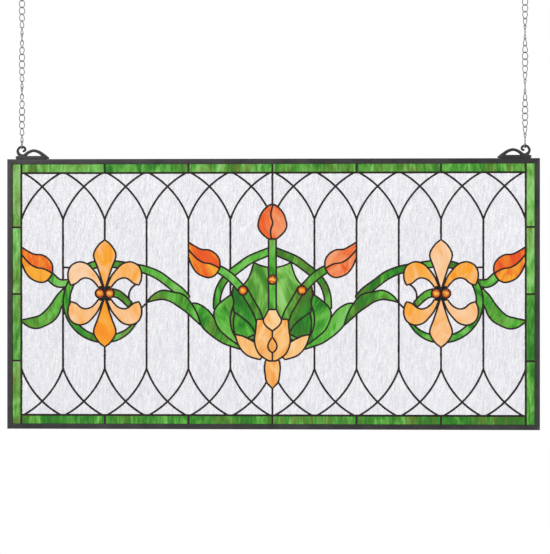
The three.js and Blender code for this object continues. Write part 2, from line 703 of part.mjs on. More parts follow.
function jewel() {
  const radius = JEWEL_RING - JEWEL_LEAD_HALF - 2 * FIT_GAP;
  const profile = [
    [0, -JEWEL_FRONT], [radius * 0.6, -JEWEL_FRONT + 0.7], [radius, -GLASS_Y],
    [radius, JEWEL_BACK - 1], [0, JEWEL_BACK],
  ];
  return new THREE.LatheGeometry(profile.map((point) => new THREE.Vector2(...point)), JEWEL_FACETS);
}

const JEWELS = [
  ['jewel_centre', 0, 23.5],
  ...[[1, 'right'], [-1, 'left']].flatMap(([side, word]) => [
    [`jewel_hoop_${word}`, side * 48.5, 6],
    [`jewel_fleur_outer_${word}`, side * (FLEUR[0] + JEWEL_RING), FLEUR[1]],
    [`jewel_fleur_inner_${word}`, side * (FLEUR[0] - JEWEL_RING), FLEUR[1]],
  ]),
];
JEWELS.forEach(([name, x, z]) => add(panel, name, jewel(), AMBER, [x, 0, z]));

// ---- brackets: a bar on the frame, a scroll arch and a curled hook, cast in one

const HOOK_PATH = [[416, FRAME_Z + BAR_HEIGHT - 1], [420, 232], [420.5, 237], [417.5, 241.3],
  [413.5, HOOK_TOP], [409.5, 240.8], [408.8, 237.2], [411.2, 235.2]];
const ARCH_PATH = [[411, FRAME_Z + BAR_HEIGHT - 1], [404.5, 233.5], [395, 236.6], [385.5, 234],
  [378, 229], [371, FRAME_Z + 3]];
const END_DEGREES = [-60, -30, 0, 30, 60];

// A bent rod in the panel's plane.
function rod(path, thickness, steps) {
  const curve = new THREE.CatmullRomCurve3(path.map(([x, z]) => new THREE.Vector3(x, 0, z)));
  return wire(curve, thickness / 2, ROD_SIDES, steps);
}

function bracket(side) {
  const foot = FRAME_Z;
  const barTop = foot + BAR_HEIGHT;
  const round = BAR_HEIGHT / 2;
  const end = (x, way) => END_DEGREES.map((degrees) => {
    const angle = THREE.MathUtils.degToRad(degrees);
    return [x + way * round * Math.cos(angle), foot + round + way * round * Math.sin(angle)];
  });
  const outline = [[BAR_FROM, foot], [BAR_TO, foot], ...end(BAR_TO, 1), [BAR_TO, barTop],
    [BAR_FROM, barTop], ...end(BAR_FROM, -1)];
  const bar = slab(outline, -BAR_WIDTH / 2, BAR_WIDTH / 2);
  const hook = rod(HOOK_PATH, HOOK_WIRE, HOOK_STEPS);
  const arch = rod(ARCH_PATH, ARCH_WIRE, ARCH_STEPS);
  const cast = joined([bar, hook, arch]);
  const geometry = toGeometry(cast);
  if (side < 0) {
    geometry.scale(-1, 1, 1);
    geometry.index.array.reverse();
    geometry.computeVertexNormals();
  }
  return geometry;
}

add(panel, 'bracket_right', bracket(1), METAL);
add(panel, 'bracket_left', bracket(-1), METAL);

// ---- chains: links that turn slowly round the chain's own line, and a ring to hang each by

// The corners of a link's square wire, whose flats just reach into the next link's.
const LINK_SECTION = (LINK_WIRE / 2 + 0.05) * Math.SQRT2;

function chain(side) {
  const links = Array.from({ length: LINKS }, (_, i) => {
    const link = loop(LINK_WIDTH / 2, (LINK_LENGTH - LINK_WIRE) / 2, LINK_SECTION,
      LINK_SIDES, LINK_SECTIONS);
    const tilt = (i % 2 ? 1 : -1) * LINK_TILT;
    link.rotateZ(side * (tilt - Math.PI * (LINKS - 1 - i) / LINKS_PER_HALF_TURN));
    link.translate(0, 0, LINK_LENGTH / 2 + i * LINK_PITCH);
    return link;
  });
  return toGeometry(joined(links));
}

for (const [side, word] of [[1, 'right'], [-1, 'left']]) {
  add(panel, `chain_${word}`, chain(side), CHAIN, [side * CHAIN_X, 0, CHAIN_BOTTOM]);
  const ring = loop(RING_RADIUS, RING_RADIUS, RING_WIRE / 2, LINK_SIDES, RING_SECTIONS);
  ring.rotateZ(Math.PI / 2);
  add(panel, `hanging_ring_${word}`, ring, CHAIN, [side * CHAIN_X, 0, RING_CENTRE]);
}

export default windowPanel;
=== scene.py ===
"""A wide stained glass panel that hangs from two chains: flowers and leaves on a clear lattice.

Lengths in the tables are millimetres from the panel's centre, x across and z up, seen from the
front. The half tables hold the right half; the left half is its mirror image.
"""

import functools
import math

import bpy
import numpy as np
from bpy.props import FloatProperty, FloatVectorProperty, IntProperty, PointerProperty
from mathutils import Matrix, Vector, noise
from mathutils.geometry import delaunay_2d_cdt

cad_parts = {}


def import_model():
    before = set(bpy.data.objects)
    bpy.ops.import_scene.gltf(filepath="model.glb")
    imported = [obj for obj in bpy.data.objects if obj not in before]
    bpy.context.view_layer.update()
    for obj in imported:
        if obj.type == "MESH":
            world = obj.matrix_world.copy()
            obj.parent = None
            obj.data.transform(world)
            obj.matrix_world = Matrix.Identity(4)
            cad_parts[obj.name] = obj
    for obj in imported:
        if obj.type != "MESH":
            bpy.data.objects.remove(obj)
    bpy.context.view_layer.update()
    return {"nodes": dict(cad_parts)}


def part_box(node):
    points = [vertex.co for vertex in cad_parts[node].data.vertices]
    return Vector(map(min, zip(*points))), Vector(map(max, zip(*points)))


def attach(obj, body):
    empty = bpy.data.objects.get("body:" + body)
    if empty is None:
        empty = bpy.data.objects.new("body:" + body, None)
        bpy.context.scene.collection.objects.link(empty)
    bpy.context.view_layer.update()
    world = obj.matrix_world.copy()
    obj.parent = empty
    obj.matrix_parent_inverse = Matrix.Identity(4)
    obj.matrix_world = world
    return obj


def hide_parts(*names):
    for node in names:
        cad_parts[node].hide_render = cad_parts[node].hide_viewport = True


bl_info = {
    "name": "Stained Glass Panel",
    "version": (1, 0, 0),
    "blender": (4, 5, 0),
    "location": "View3D > Sidebar > Glass Panel",
    "description": "Builds a hanging leaded glass panel with its frame, brackets and chains",
    "category": "Add Mesh",
}

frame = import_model()

MM = 0.001
FRAME_LOW, FRAME_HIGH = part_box("frame_top")
PANEL_WIDTH = round((FRAME_HIGH.x - FRAME_LOW.x) / MM)
PANEL_HEIGHT = round((FRAME_HIGH.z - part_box("frame_bottom")[0].z) / MM)
MIDDLE_Z = FRAME_HIGH.z - PANEL_HEIGHT * MM / 2


# ---------------------------------------------------------------- what a user may change


class PanelSizes(bpy.types.PropertyGroup):
    """Sizes of the glass, the solder and the metal, in millimetres."""

    glass: FloatProperty(
        name="Glass", description="Thickness of the glass", default=3, min=1)
    bead: FloatProperty(
        name="Bead", description="Half the width of a solder bead", default=1.6, min=0.5)
    flower_bead: FloatProperty(
        name="Flower bead", description="Half the width of a bead among the flowers",
        default=1.42, min=0.5)
    jewel_bead: FloatProperty(
        name="Jewel bead", description="Half the width of the bead round a jewel", default=1, min=0.5)
    bead_rise: FloatProperty(
        name="Bead rise", description="How far a bead stands off the glass", default=1.15, min=0.2)
    bead_step: FloatProperty(
        name="Bead step", description="Length of one step along a bead", default=3, min=0.5)
    frame_face: FloatProperty(
        name="Frame face", description="Width of the frame's face", default=8.6, min=2)
    frame_depth: FloatProperty(
        name="Frame depth", description="Depth of the frame", default=7, min=2)
    link_wire: FloatProperty(
        name="Link wire", description="Thickness of the chain's wire", default=1.5, min=0.5)
    link_width: FloatProperty(
        name="Link width", description="Outside width of a link", default=10.4, min=3)
    links: IntProperty(
        name="Links", description="Links in each chain", default=23, min=1)


def colour(name, words, red, green, blue):
    """A colour property with its default given as it looks, from 0 to 255."""
    return FloatVectorProperty(
        name=name, description=words, subtype="COLOR_GAMMA", min=0, max=1,
        default=(red / 255, green / 255, blue / 255))


class PanelColours(bpy.types.PropertyGroup):
    """Colours of the glass and the metal."""

    clear: colour("Clear", "Clear lattice glass", 241, 241, 251)
    border: colour("Border", "Light green of the border", 112, 192, 76)
    border_deep: colour("Border, deep", "Deep green of the border", 44, 134, 22)
    olive: colour("Olive", "Brown olive that runs through the greens", 100, 104, 20)
    leaf: colour("Leaf", "Light green of the leaves", 90, 185, 52)
    leaf_deep: colour("Leaf, deep", "Deep green of the leaves", 22, 126, 10)
    fan: colour("Fan", "Pale green of the fan behind the flower", 134, 204, 92)
    fan_deep: colour("Fan, deep", "Deep green of the fan", 78, 150, 36)
    pale: colour("Fleur", "Pale orange of the fleurs-de-lis", 253, 194, 134)
    pale_deep: colour("Fleur, deep", "Strong orange of the fleurs-de-lis", 252, 166, 26)
    peach: colour("Flower", "Light peach of the centre flower", 253, 201, 130)
    peach_deep: colour("Flower, deep", "Deep peach of the centre flower", 248, 162, 66)
    bud: colour("Bud", "Light orange of the buds", 251, 170, 34)
    bud_deep: colour("Bud, deep", "Deep orange of the buds", 238, 92, 8)
    rose: colour("Rose", "Rose orange of two of the buds", 247, 146, 92)
    amber: colour("Amber", "Amber of the jewels", 252, 168, 14)
    # This deep amber is painted shade for the jewels' rims, not a colour of their glass.
    amber_rim_shade: colour("Amber, deep", "Deep amber of the jewels' rims", 176, 76, 2)
    patina: colour("Patina", "Dark patina of the solder", 40, 26, 26)
    metal: colour("Metal", "Frame and brackets", 62, 63, 62)
    steel: colour("Steel", "Chains and rings", 138, 140, 138)


# ---------------------------------------------------------------- curves


def through(rows, steps=12):
    """Points of an even smooth curve through rows of numbers, steps of them from row to row."""
    rows = [np.array(row, float) for row in rows]
    before = 2 * rows[0] - rows[1]
    after = 2 * rows[-1] - rows[-2]
    ends = [before, *rows, after]
    points = []
    for i in range(len(rows) - 1):
        a, b, c, d = ends[i:i + 4]
        for step in range(steps):
            t = step / steps
            points.append(
                b + 0.5 * t * (c - a + t * (2 * a - 5 * b + 4 * c - d + t * (3 * (b - c) + d - a))))
    return np.array([*points, rows[-1]])


def ways(path, closed=False):
    """The unit direction of a path at each of its points."""
    if closed:
        way = np.roll(path, -1, axis=0) - np.roll(path, 1, axis=0)
    else:
        way = np.gradient(path, axis=0)
    return way / (np.linalg.norm(way, axis=1)[:, None] + 1e-12)


def leftwards(path, closed=False):
    """The unit direction to the left of a flat path at each of its points."""
    way = ways(path, closed)
    return np.column_stack([-way[:, 1], way[:, 0]])


def blade(stations):
    """A leaf, petal or stem: stations of its spine, each with the half width there."""
    spine = through(stations)
    line = spine[:, :2]
    half = leftwards(line) * np.maximum(spine[:, 2], 0)[:, None]
    return np.vstack([line + half, (line - half)[::-1]])


def between(edge_a, edge_b):
    """The shape between two edges that start and end together."""
    return np.vstack([through(edge_a), through(edge_b)[::-1]])


def arc_stations(centre, radius, start, end, half_width, count=12):
    """Stations along an arc from one angle to another, in degrees, all of one half width."""
    angles = np.radians(np.linspace(start, end, count + 1))
    return [
        (centre[0] + radius * math.cos(a), centre[1] + radius * math.sin(a), half_width)
        for a in angles]


def circle(centre, radius, count=48):
    """A closed round outline."""
    angles = np.linspace(0, 2 * math.pi, count, endpoint=False)
    return np.column_stack([
        centre[0] + radius * np.cos(angles), centre[1] + radius * np.sin(angles)])


def bow(a, b, sagitta, count=24):
    """An arc from a to b that bows out to the left of its way."""
    a = np.array(a, float)
    b = np.array(b, float)
    half = np.linalg.norm(b - a) / 2
    along = (b - a) / (2 * half)
    left = np.array([-along[1], along[0]])
    radius = (half * half + sagitta * sagitta) / (2 * sagitta)
    angles = math.asin(half / radius) * np.linspace(-1, 1, count + 1)
    forward = radius * np.sin(angles)
    out = radius * np.cos(angles) - radius + sagitta
    return (a + b) / 2 + forward[:, None] * along + out[:, None] * left


def mirrored(points):
    """The same points on the panel's other side."""
    return np.asarray(points, float) * (-1, 1)


# ---------------------------------------------------------------- the pattern

SIDES = ((1, "right"), (-1, "left"))

# The field is all that lies within the border; upright leads part each half of it into bays.
BORDER = 23
FIELD_X = PANEL_WIDTH / 2 - BORDER
FIELD_Z = PANEL_HEIGHT / 2 - BORDER
HALF_BAYS = 6
BAY = FIELD_X / HALF_BAYS

# The upright lattice leads end in nodes, from which two arcs lean out by a little under a bay.
NODE_Z = 123
ARC_REACH = BAY - 4
ARC_BOW = 9.4

# Where the joints of the border's strips lie: in bays along its rows, in height up its sides.
ROW_JOINTS = (-4, -2, 0, 2, 4)
SIDE_JOINTS = (110, 0, -110)

# The middle of a fleur-de-lis, and the radius of the lead round a jewel.
FLEUR = (4 * BAY, 1)
JEWEL_RING = 8

# A tulip bud lies on its side, its mouth on an upright lead and its foot towards the middle.
BUD_TOP = [(0, 13), (-9.5, 7), (-21.5, 1), (-34, 0), (-45, -6.5), (-51.5, -17), (-52, -29.5)]
BUD_BOTTOM = [(0, -12), (-6.5, -27.5), (-14.5, -38), (-24.5, -43.5), (-34.5, -45.5),
              (-42.5, -42.5), (-47.5, -37.5)]
BUD_FOLD = [(0, 1), (-7.5, -8), (-16, -16), (-25.5, -21), (-35.5, -22.5), (-44, -26), (-52, -31)]
SIDE_BUD = (FIELD_X, 64.5)
INNER_BUD = (2 * BAY, 72.5)

# A fleur-de-lis, from its centre: an upright petal, and a side petal that curls over.
UPRIGHT_PETAL = [(0, 88.5, 0), (0, 79.5, 10.5), (0, 63.5, 18.5), (0, 43, 12), (0, 28, 7),
                 (0, 16.5, 3.5), (0, 8.5, 1)]
SIDE_PETAL_OUTER = [(4, 12.5), (10.5, 27.5), (19, 39), (29, 48.5), (42.5, 52), (55, 46.5),
                    (60.5, 36), (60.5, 23.5), (56.5, 13.5)]
SIDE_PETAL_INNER = [(10, 9), (15, 16), (22, 22.5), (31, 25.5), (39, 23.5), (47.5, 16.5),
                    (56.5, 13.5)]

FAN_TOP = [(30.5, 52), (19.5, 47), (0, 42)]
FAN_SIDE = [(30.5, 52), (35, 36.5), (40.5, 24), (49.5, 13)]


def moved(rows, place):
    """The same points with their origin at a place."""
    return [(x + place[0], z + place[1]) for x, z in rows]


def fleur_place(rows, across, up):
    """Rows of a fleur-de-lis in the panel, flipped across or over where across or up is -1."""
    return [(FLEUR[0] + row[0] * across, FLEUR[1] + row[1] * up, *row[2:]) for row in rows]


def middle_shapes():
    """Shapes that stand on the middle line, each with the name of its glass and its outline.

    They go from front to back: where two lie over each other, the first in the list is seen.
    """
    return [
        ("jewel", circle((0, 23.5), JEWEL_RING)),
        ("centre_flower", blade(
            [(0, -25.5, 6.5), (0, -34, 10.5), (0, -43, 15), (0, -52, 11), (0, -61, 0)])),
        ("centre_flower", blade(
            [(0, -70.5, 0), (0, -79, 5.5), (0, -85.5, 7.5), (0, -92, 5.5), (0, -97, 0)])),
        ("centre_flower", blade(
            [(0, -41.5, 26), (0, -59.5, 27.5), (0, -77.5, 29.5), (0, -92.5, 25.5),
             (0, -102, 18.5), (0, -110, 6)])),
        ("centre_flower", blade(
            [(0, -109, 11.5), (0, -122, 13), (0, -135, 11.5), (0, -145, 9.5), (0, -155.5, 0)])),
        ("bud_centre", blade(
            [(0, 148, 0), (0, 144, 8.5), (0, 133.5, 17.5), (0, 122, 22), (0, 110.5, 23.5),
             (0, 100.5, 18), (0, 90.5, 7)])),
        ("foliage", blade([(0, 95, 6.3), (0, -30, 6.3)])),
    ]


def half_shapes():
    """Shapes of the right half, also from front to back."""
    petals = [
        ("fleur", between(
            fleur_place(SIDE_PETAL_OUTER, across, up), fleur_place(SIDE_PETAL_INNER, across, up)))
        for up in (1, -1) for across in (1, -1)]
    return [
        ("jewel", circle((48.5, 6), JEWEL_RING)),
        ("jewel", circle((FLEUR[0] + JEWEL_RING, FLEUR[1]), JEWEL_RING)),
        ("jewel", circle((FLEUR[0] - JEWEL_RING, FLEUR[1]), JEWEL_RING)),
        ("centre_flower", blade(
            [(61.5, -66.5, 0), (53, -74.5, 7), (42, -85, 11.5), (30.5, -94, 11.5),
             (18, -105, 4)])),
        ("fleur", blade(fleur_place(UPRIGHT_PETAL, 1, 1))),
        ("fleur", blade(fleur_place(UPRIGHT_PETAL, 1, -1))),
        *petals,
        ("bud_side", between(moved(BUD_TOP, SIDE_BUD), moved(BUD_BOTTOM, SIDE_BUD))),
        ("bud_inner", between(moved(BUD_TOP, INNER_BUD), moved(BUD_BOTTOM, INNER_BUD))),
        ("foliage", blade(
            [(91.5, 42.5, 6), (80, 36, 6.5), (67.5, 26.5, 6.5), (57.5, 16, 6.5),
             (48.5, 6, 6.5)])),
        ("foliage", blade(
            [(49, 10, 6.5), (40, -5.5, 6), (32, -19, 6), (25.5, -30.5, 6), (21, -43, 6)])),
        ("foliage", blade(
            [(207, -14, 0), (196, -6.5, 4.5), (181, -1.5, 7.5), (166.5, -4.5, 8),
             (151.5, -10.5, 10.5), (138, -23, 8), (127.5, -36.5, 5), (117.5, -52, 0)])),
        ("foliage", between(
            [(67, -0.5), (77.5, -7.5), (91.5, -20), (96.5, -34.5), (89, -56), (74, -71),
             (52.5, -86.5)],
            [(67, -0.5), (63.5, -14), (67.5, -29.5), (69.5, -43), (66.5, -59.5), (60, -72.5),
             (52.5, -86.5)])),
        ("foliage", blade(
            [(135, -15.5, 0), (126.5, -21.5, 7), (114.5, -35, 12), (101, -53, 11.5),
             (81.5, -72, 8), (66, -81, 5.5), (51, -89, 2.5)])),
        ("foliage", blade(
            [(61.5, -30, 0), (57, -42, 8), (49.5, -57, 14.5), (42, -72.5, 16.5)])),
        ("foliage", blade(
            [(3, 71, 6), (36, 57, 6.5), (54, 44.5, 6.5), (67.5, 34, 6.5), (78.5, 23.5, 5.5),
             (86.5, 10, 5.5), (91, -6.5, 5.5), (91.5, -24.5, 5.5)])),
        ("foliage", blade(
            [(277, 51, 5.5), (252, 48, 5.5), (227.5, 43.5, 6), (208.5, 39.5, 6),
             (188.5, 31, 6.5), (170.5, 18, 6.5), (152.5, 4, 7), (139, -8, 5)])),
        ("tendril", blade([(267, 2.5, 6.5), (255.5, 0, 6), (246, -6.5, 5.5), (234.5, -18, 5)])),
        ("ring", blade([
            (x, z, half * min(1, 0.35 + 0.3 * i))
            for i, (x, z, half) in enumerate(arc_stations((277.5, -12), 62.5, -148, 88, 5.5))])),
        ("ring", blade([(367.5, 29.5, 7), (360, 22, 7), (351.5, 17.5, 6.5), (337, 18, 5.5)])),
        ("ring", between(
            [(FIELD_X, -43), (398.5, -39.5), (383, -34.5), (367.5, -19), (356, -2.5), (341, 13)],
            [(FIELD_X, -45.5), (402, -54.5), (389, -57), (375.5, -52.5), (361.5, -44.5),
             (352.5, -33), (349, -23), (341, -10)])),
        ("fan", np.vstack([
            through(FAN_TOP), [(0, -40), (21, -43), (32, -19)], through(FAN_SIDE)[::-1]])),
        ("foliage", blade(
            [(60, 13, 5), (56, -3.5, 10.5), (48.5, -26.5, 15), (41, -51, 15), (34.5, -76, 8)])),
        ("foliage", blade([(66, 4, 3), (64, -14, 5), (64, -46, 6), (58, -74, 3)])),
    ]


def lattice_lines():
    """Bay lines, and from a node near each end of a line two arcs that lean out to the edge."""
    lines = [
        ("clear", [(bay * BAY, NODE_Z), (bay * BAY, -NODE_Z)]) for bay in range(1, HALF_BAYS)]
    for bay in range(HALF_BAYS + 1):
        for up in (1, -1):
            node = (bay * BAY, up * NODE_Z)
            for side, fits in ((1, bay < HALF_BAYS), (-1, bay > 0)):
                if fits:
                    end = (node[0] + side * ARC_REACH, up * FIELD_Z)
                    lines.append(("clear", bow(node, end, side * up * ARC_BOW)))
    return lines


def middle_lines():
    """Lead lines on the middle line that lie inside one glass, each with that glass's name."""
    return [
        ("bud_centre", through(
            [(1, 148.5), (-2.5, 130), (0.5, 117), (-3, 104), (-1.5, 90.5)])),
        ("centre_flower", [(0, -61), (0, -70.5)]),
        ("centre_flower", [(0, -97), (0, -110)]),
        ("clear", [(0, FIELD_Z), (0, 148)]),
        ("clear", [(0, -155.5), (0, -FIELD_Z)]),
    ]


def half_lines():
    """The same for the right half: the buds' folds, short ties beside the fleurs, the lattice."""
    return [
        ("bud_side", through(moved(BUD_FOLD, SIDE_BUD))),
        ("bud_inner", through(moved(BUD_FOLD, INNER_BUD))),
        ("clear", bow((FLEUR[0] - 52, 16), (FLEUR[0] - 45, -18), 8.5)),
        ("clear", [(3 * BAY, -15), (215, -22)]),
        ("clear", [(5 * BAY, 44), (333, 43.5)]),
        *lattice_lines(),
    ]


def border_lines(lip):
    """The field's edge, and the joints between border strips from there to the frame's lip."""
    lines = []
    out_x = PANEL_WIDTH / 2 - lip
    out_z = PANEL_HEIGHT / 2 - lip
    for side in (1, -1):
        lines.append([(-FIELD_X, side * FIELD_Z), (FIELD_X, side * FIELD_Z)])
        lines.append([(side * FIELD_X, -out_z), (side * FIELD_X, out_z)])
        for bay in ROW_JOINTS:
            lines.append([(bay * BAY, side * FIELD_Z), (bay * BAY, side * out_z)])
        for z in SIDE_JOINTS:
            lines.append([(side * FIELD_X, z), (side * out_x, z)])
    return lines


# ---------------------------------------------------------------- the drawing, cut into panes


class Drawing:
    """The whole pattern: shapes front to back, and the lead lines that lie inside one glass."""

    def __init__(self, lip):
        self.shapes = self.placed(middle_shapes(), half_shapes())
        self.lines = self.placed(middle_lines(), half_lines())
        self.edges = border_lines(lip)

    @staticmethod
    def placed(middle, half):
        """Rows of name, side and points: the middle ones, then each of the half's and its image."""
        rows = [(name, 0, np.asarray(points, float)) for name, points in middle]
        for name, points in half:
            rows.append((name, 1, np.asarray(points, float)))
            rows.append((name, -1, mirrored(points)))
        return rows

    def shape_at(self, points, stop=None):
        """Index of the first shape that holds each point, or -1."""
        points = np.asarray(points, float)
        found = np.full(len(points), -1)
        for i, (_, _, outline) in enumerate(self.shapes[:stop]):
            low = outline.min(0)
            high = outline.max(0)
            near = (found < 0) & (points >= low).all(1) & (points <= high).all(1)
            if near.any():
                at = np.flatnonzero(near)
                found[at[holds(outline, points[at])]] = i
        return found

    def owner(self, points):
        """The shape seen at each point; -1 is clear glass and -2 the border."""
        points = np.asarray(points, float)
        found = self.shape_at(points)
        outside = (np.abs(points[:, 0]) > FIELD_X) | (np.abs(points[:, 1]) > FIELD_Z)
        return np.where(outside, -2, found)

    def glass(self, owner):
        """The name of the glass that a shape, the lattice or the border is cut from."""
        if owner < 0:
            return "clear" if owner == -1 else "border"
        return self.shapes[owner][0]


def holds(outline, points):
    """Which points lie inside a closed outline."""
    a = outline
    b = np.roll(outline, -1, axis=0)
    x = points[:, 0][:, None]
    z = points[:, 1][:, None]
    crosses = (a[:, 1] > z) != (b[:, 1] > z)
    rise = np.where(b[:, 1] == a[:, 1], 1e-12, b[:, 1] - a[:, 1])
    left = x < a[:, 0] + (b[:, 0] - a[:, 0]) * (z - a[:, 1]) / rise
    return (crosses & left).sum(1) % 2 == 1


def finely(points, step):
    """The same line with a point at least every step."""
    out = [points[0]]
    for a, b in zip(points[:-1], points[1:]):
        count = max(1, math.ceil(np.linalg.norm(b - a) / step))
        for i in range(1, count + 1):
            out.append(a + (b - a) * i / count)
    return np.array(out)


def stretches(points, closed, shown):
    """Runs of a fine line's steps that are shown, as (points, closed)."""
    if closed and shown.all():
        return [(points[:-1], True)]
    count = len(shown)
    start = int(np.flatnonzero(~shown)[0]) if closed else 0
    runs = []
    run = None
    for i in range(count):
        at = (start + i) % count
        if not shown[at]:
            run = None
            continue
        if run is None:
            run = [points[at]]
            runs.append(run)
        run.append(points[at + 1])
    return [(np.array(run), False) for run in runs]


def lead_lines(drawing, step=0.8, shortest=1.5):
    """Every lead line that shows: (name, side, points, closed)."""
    found = []
    for i, (name, side, outline) in enumerate(drawing.shapes):
        line = finely(np.vstack([outline, outline[:1]]), step)
        middle = (line[1:] + line[:-1]) / 2
        shown = (drawing.shape_at(middle, stop=i) < 0) & (np.abs(middle[:, 0]) < FIELD_X - 0.05)
        found += [(name, side, *run) for run in stretches(line, True, shown)]
    for name, side, points in drawing.lines:
        line = finely(points, step)
        middle = (line[1:] + line[:-1]) / 2
        shown = np.array([drawing.glass(owner) == name for owner in drawing.owner(middle)])
        found += [(name, side, *run) for run in stretches(line, False, shown)]
    found += [("edge", 0, finely(np.array(line, float), step), False) for line in drawing.edges]

    def long_enough(row):
        return np.linalg.norm(np.diff(row[2], axis=0), axis=1).sum() > shortest

    return [row for row in found if long_enough(row)]


class Cuts:
    """Lines to cut the sheet along; each edge cuts one glass or, where that is None, them all."""

    def __init__(self):
        self.vertices = []
        self.edges = []
        self.glass = []

    def add(self, points, closed, glass):
        """One more line."""
        start = len(self.vertices)
        count = len(points)
        self.vertices.extend(Vector(point) for point in points)
        for i in range(count if closed else count - 1):
            self.edges.append((start + i, start + (i + 1) % count))
            self.glass.append(glass)


def joined(count, pairs):
    """The numbers below count, in groups that the pairs join up."""
    group = list(range(count))

    def root(i):
        while group[i] != i:
            group[i] = group[group[i]]
            i = group[i]
        return i

    for a, b in pairs:
        group[root(a)] = root(b)
    members = {}
    for i in range(count):
        members.setdefault(root(i), []).append(i)
    return members.values()


def cut_panes(drawing, reach, border_step=6.0):
    """Cuts the whole sheet along the leads. Returns panes: (glass name, side, points, triangles)."""
    out_x = PANEL_WIDTH / 2 - reach
    out_z = PANEL_HEIGHT / 2 - reach
    cuts = Cuts()
    for _, _, outline in drawing.shapes:
        cuts.add(np.clip(outline, (-FIELD_X, -FIELD_Z), (FIELD_X, FIELD_Z)), True, None)
    for name, _, points in drawing.lines:
        cuts.add(points, False, name)
    for points in border_lines(reach):
        cuts.add(finely(np.array(points, float), border_step), False, "border")
    cuts.add([(-out_x, -out_z), (out_x, -out_z), (out_x, out_z), (-out_x, out_z)], True, None)
    points, edges, faces, _, sources, _ = delaunay_2d_cdt(
        cuts.vertices, cuts.edges, [], 0, 1e-4)
    points = np.array([tuple(point) for point in points])
    faces = np.array([list(face) for face in faces])
    owners = drawing.owner(points[faces].mean(1))

    # Two triangles side by side are of one pane unless a line of their own glass parts them.
    parted = {}
    for edge, lines in zip(edges, sources):
        parted[tuple(sorted(edge))] = {cuts.glass[i] for i in lines if i < len(cuts.glass)}
    beside = {}
    for f, face in enumerate(faces.tolist()):
        for edge in zip(face, face[1:] + face[:1]):
            beside.setdefault(tuple(sorted(edge)), []).append(f)
    pairs = [
        pair for edge, pair in beside.items()
        if len(pair) == 2 and owners[pair[0]] == owners[pair[1]]
        and drawing.glass(owners[pair[0]]) not in parted.get(edge, ())]
    panes = []
    for fs in joined(len(faces), pairs):
        owner = owners[fs[0]]
        side = drawing.shapes[owner][1] if owner >= 0 else 0
        used, local = np.unique(faces[fs], return_inverse=True)
        panes.append((drawing.glass(owner), side, points[used], local.reshape(-1, 3)))
    return panes


def area_of(points, triangles):
    """The area of a pane."""
    a, b, c = (points[triangles[:, k]] for k in range(3))
    ab = b - a
    ac = c - a
    return np.abs(ab[:, 0] * ac[:, 1] - ab[:, 1] * ac[:, 0]).sum() / 2


def rim_edges(triangles):
    """The directed edges round a pane, each with glass on its left."""
    directed = {(t[k], t[(k + 1) % 3]) for t in triangles.tolist() for k in range(3)}
    return [(a, b) for a, b in directed if (b, a) not in directed]


def drawn_in(points, rim, gap):
    """Points with those on the rim moved inwards by a gap."""
    push = np.zeros_like(points)
    count = np.zeros(len(points))
    for a, b in rim:
        way = points[b] - points[a]
        size = np.linalg.norm(way)
        if size < 1e-9:
            continue
        inward = np.array([-way[1], way[0]]) / size
        for i in (a, b):
            push[i] += inward
            count[i] += 1
    size = np.linalg.norm(push, axis=1)
    on_rim = count > 0
    share = np.maximum(size[on_rim] / count[on_rim], 0.6)
    push[on_rim] *= (gap / (np.maximum(size[on_rim], 1e-9) * share))[:, None]
    return points + push


# ---------------------------------------------------------------- meshes


def world(points):
    """Panel millimetres (x, y, z) to metres in the part's frame."""
    points = np.asarray(points, float).reshape(-1, 3) * MM
    points[:, 2] += MIDDLE_Z
    return points


def put_mesh(name, points, faces, material, smooth=True, attributes=None):
    """A new object from millimetre points and faces, with numbers for the material at its points."""
    mesh = bpy.data.meshes.new(name)
    mesh.from_pydata(world(points).tolist(), [], [list(face) for face in faces])
    for key, values in (attributes or {}).items():
        mesh.attributes.new(key, "FLOAT", "POINT").data.foreach_set("value", values)
    mesh.materials.append(material)
    mesh.update()
    piece = bpy.data.objects.new(name, mesh)
    bpy.context.scene.collection.objects.link(piece)
    if smooth:
        mesh.shade_smooth()
        mesh.set_sharp_from_angle(angle=math.radians(40))
    return piece


def settle(piece, slot, *nodes):
    """Puts a finished piece on the body, in place of its plain solids."""
    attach(piece, "root")
    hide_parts(*nodes)


def facing_out(points, faces):
    """The faces of a closed body, turned round if they face inwards."""
    fans = [(face[0], face[k], face[k + 1]) for face in faces for k in range(1, len(face) - 1)]
    a, b, c = (points[[fan[k] for fan in fans]] - points[0] for k in range(3))
    inside = np.einsum("ij,ij->", a, np.cross(b, c))
    return faces if inside > 0 else [tuple(reversed(face)) for face in faces]


class Build:
    """Points and faces gathered for one mesh, with one tone and one grain for each piece of it."""

    def __init__(self):
        self.points = []
        self.faces = []
        self.tone = []
        self.grain = []

    def add(self, points, faces, tone=0.5, grain=0.0):
        start = len(self.points)
        points = np.asarray(points, float)
        self.points.extend(points.tolist())
        self.faces.extend([start + i for i in face] for face in facing_out(points, faces))
        self.tone.extend(np.broadcast_to(tone, len(points)).tolist())
        self.grain.extend([grain] * len(points))

    def piece(self, name, material, smooth=True):
        return put_mesh(
            name, self.points, self.faces, material, smooth, {"tone": self.tone, "grain": self.grain})


def skin(count, sides, closed):
    """Faces round count rings of points, capped at both ends unless the rings close up."""
    faces = []
    for i in range(count if closed else count - 1):
        here = i * sides
        there = (i + 1) % count * sides
        for k in range(sides):
            m = (k + 1) % sides
            faces.append((here + k, here + m, there + m, there + k))
    if not closed:
        faces.append(tuple(reversed(range(sides))))
        faces.append(tuple((count - 1) * sides + k for k in range(sides)))
    return faces


def tube(path, closed, section, scale):
    """Sweeps a section of (across, depth) pairs along a path in the panel's plane.

    Depth is along y. The scale holds the share of each, across and depth, at each point.
    """
    points = []
    for middle, across, (wide, deep) in zip(path, leftwards(path, closed), scale):
        for a, depth in section:
            at = middle + across * a * wide
            points.append((at[0], depth * deep, at[1]))
    return points, skin(len(path), len(section), closed)


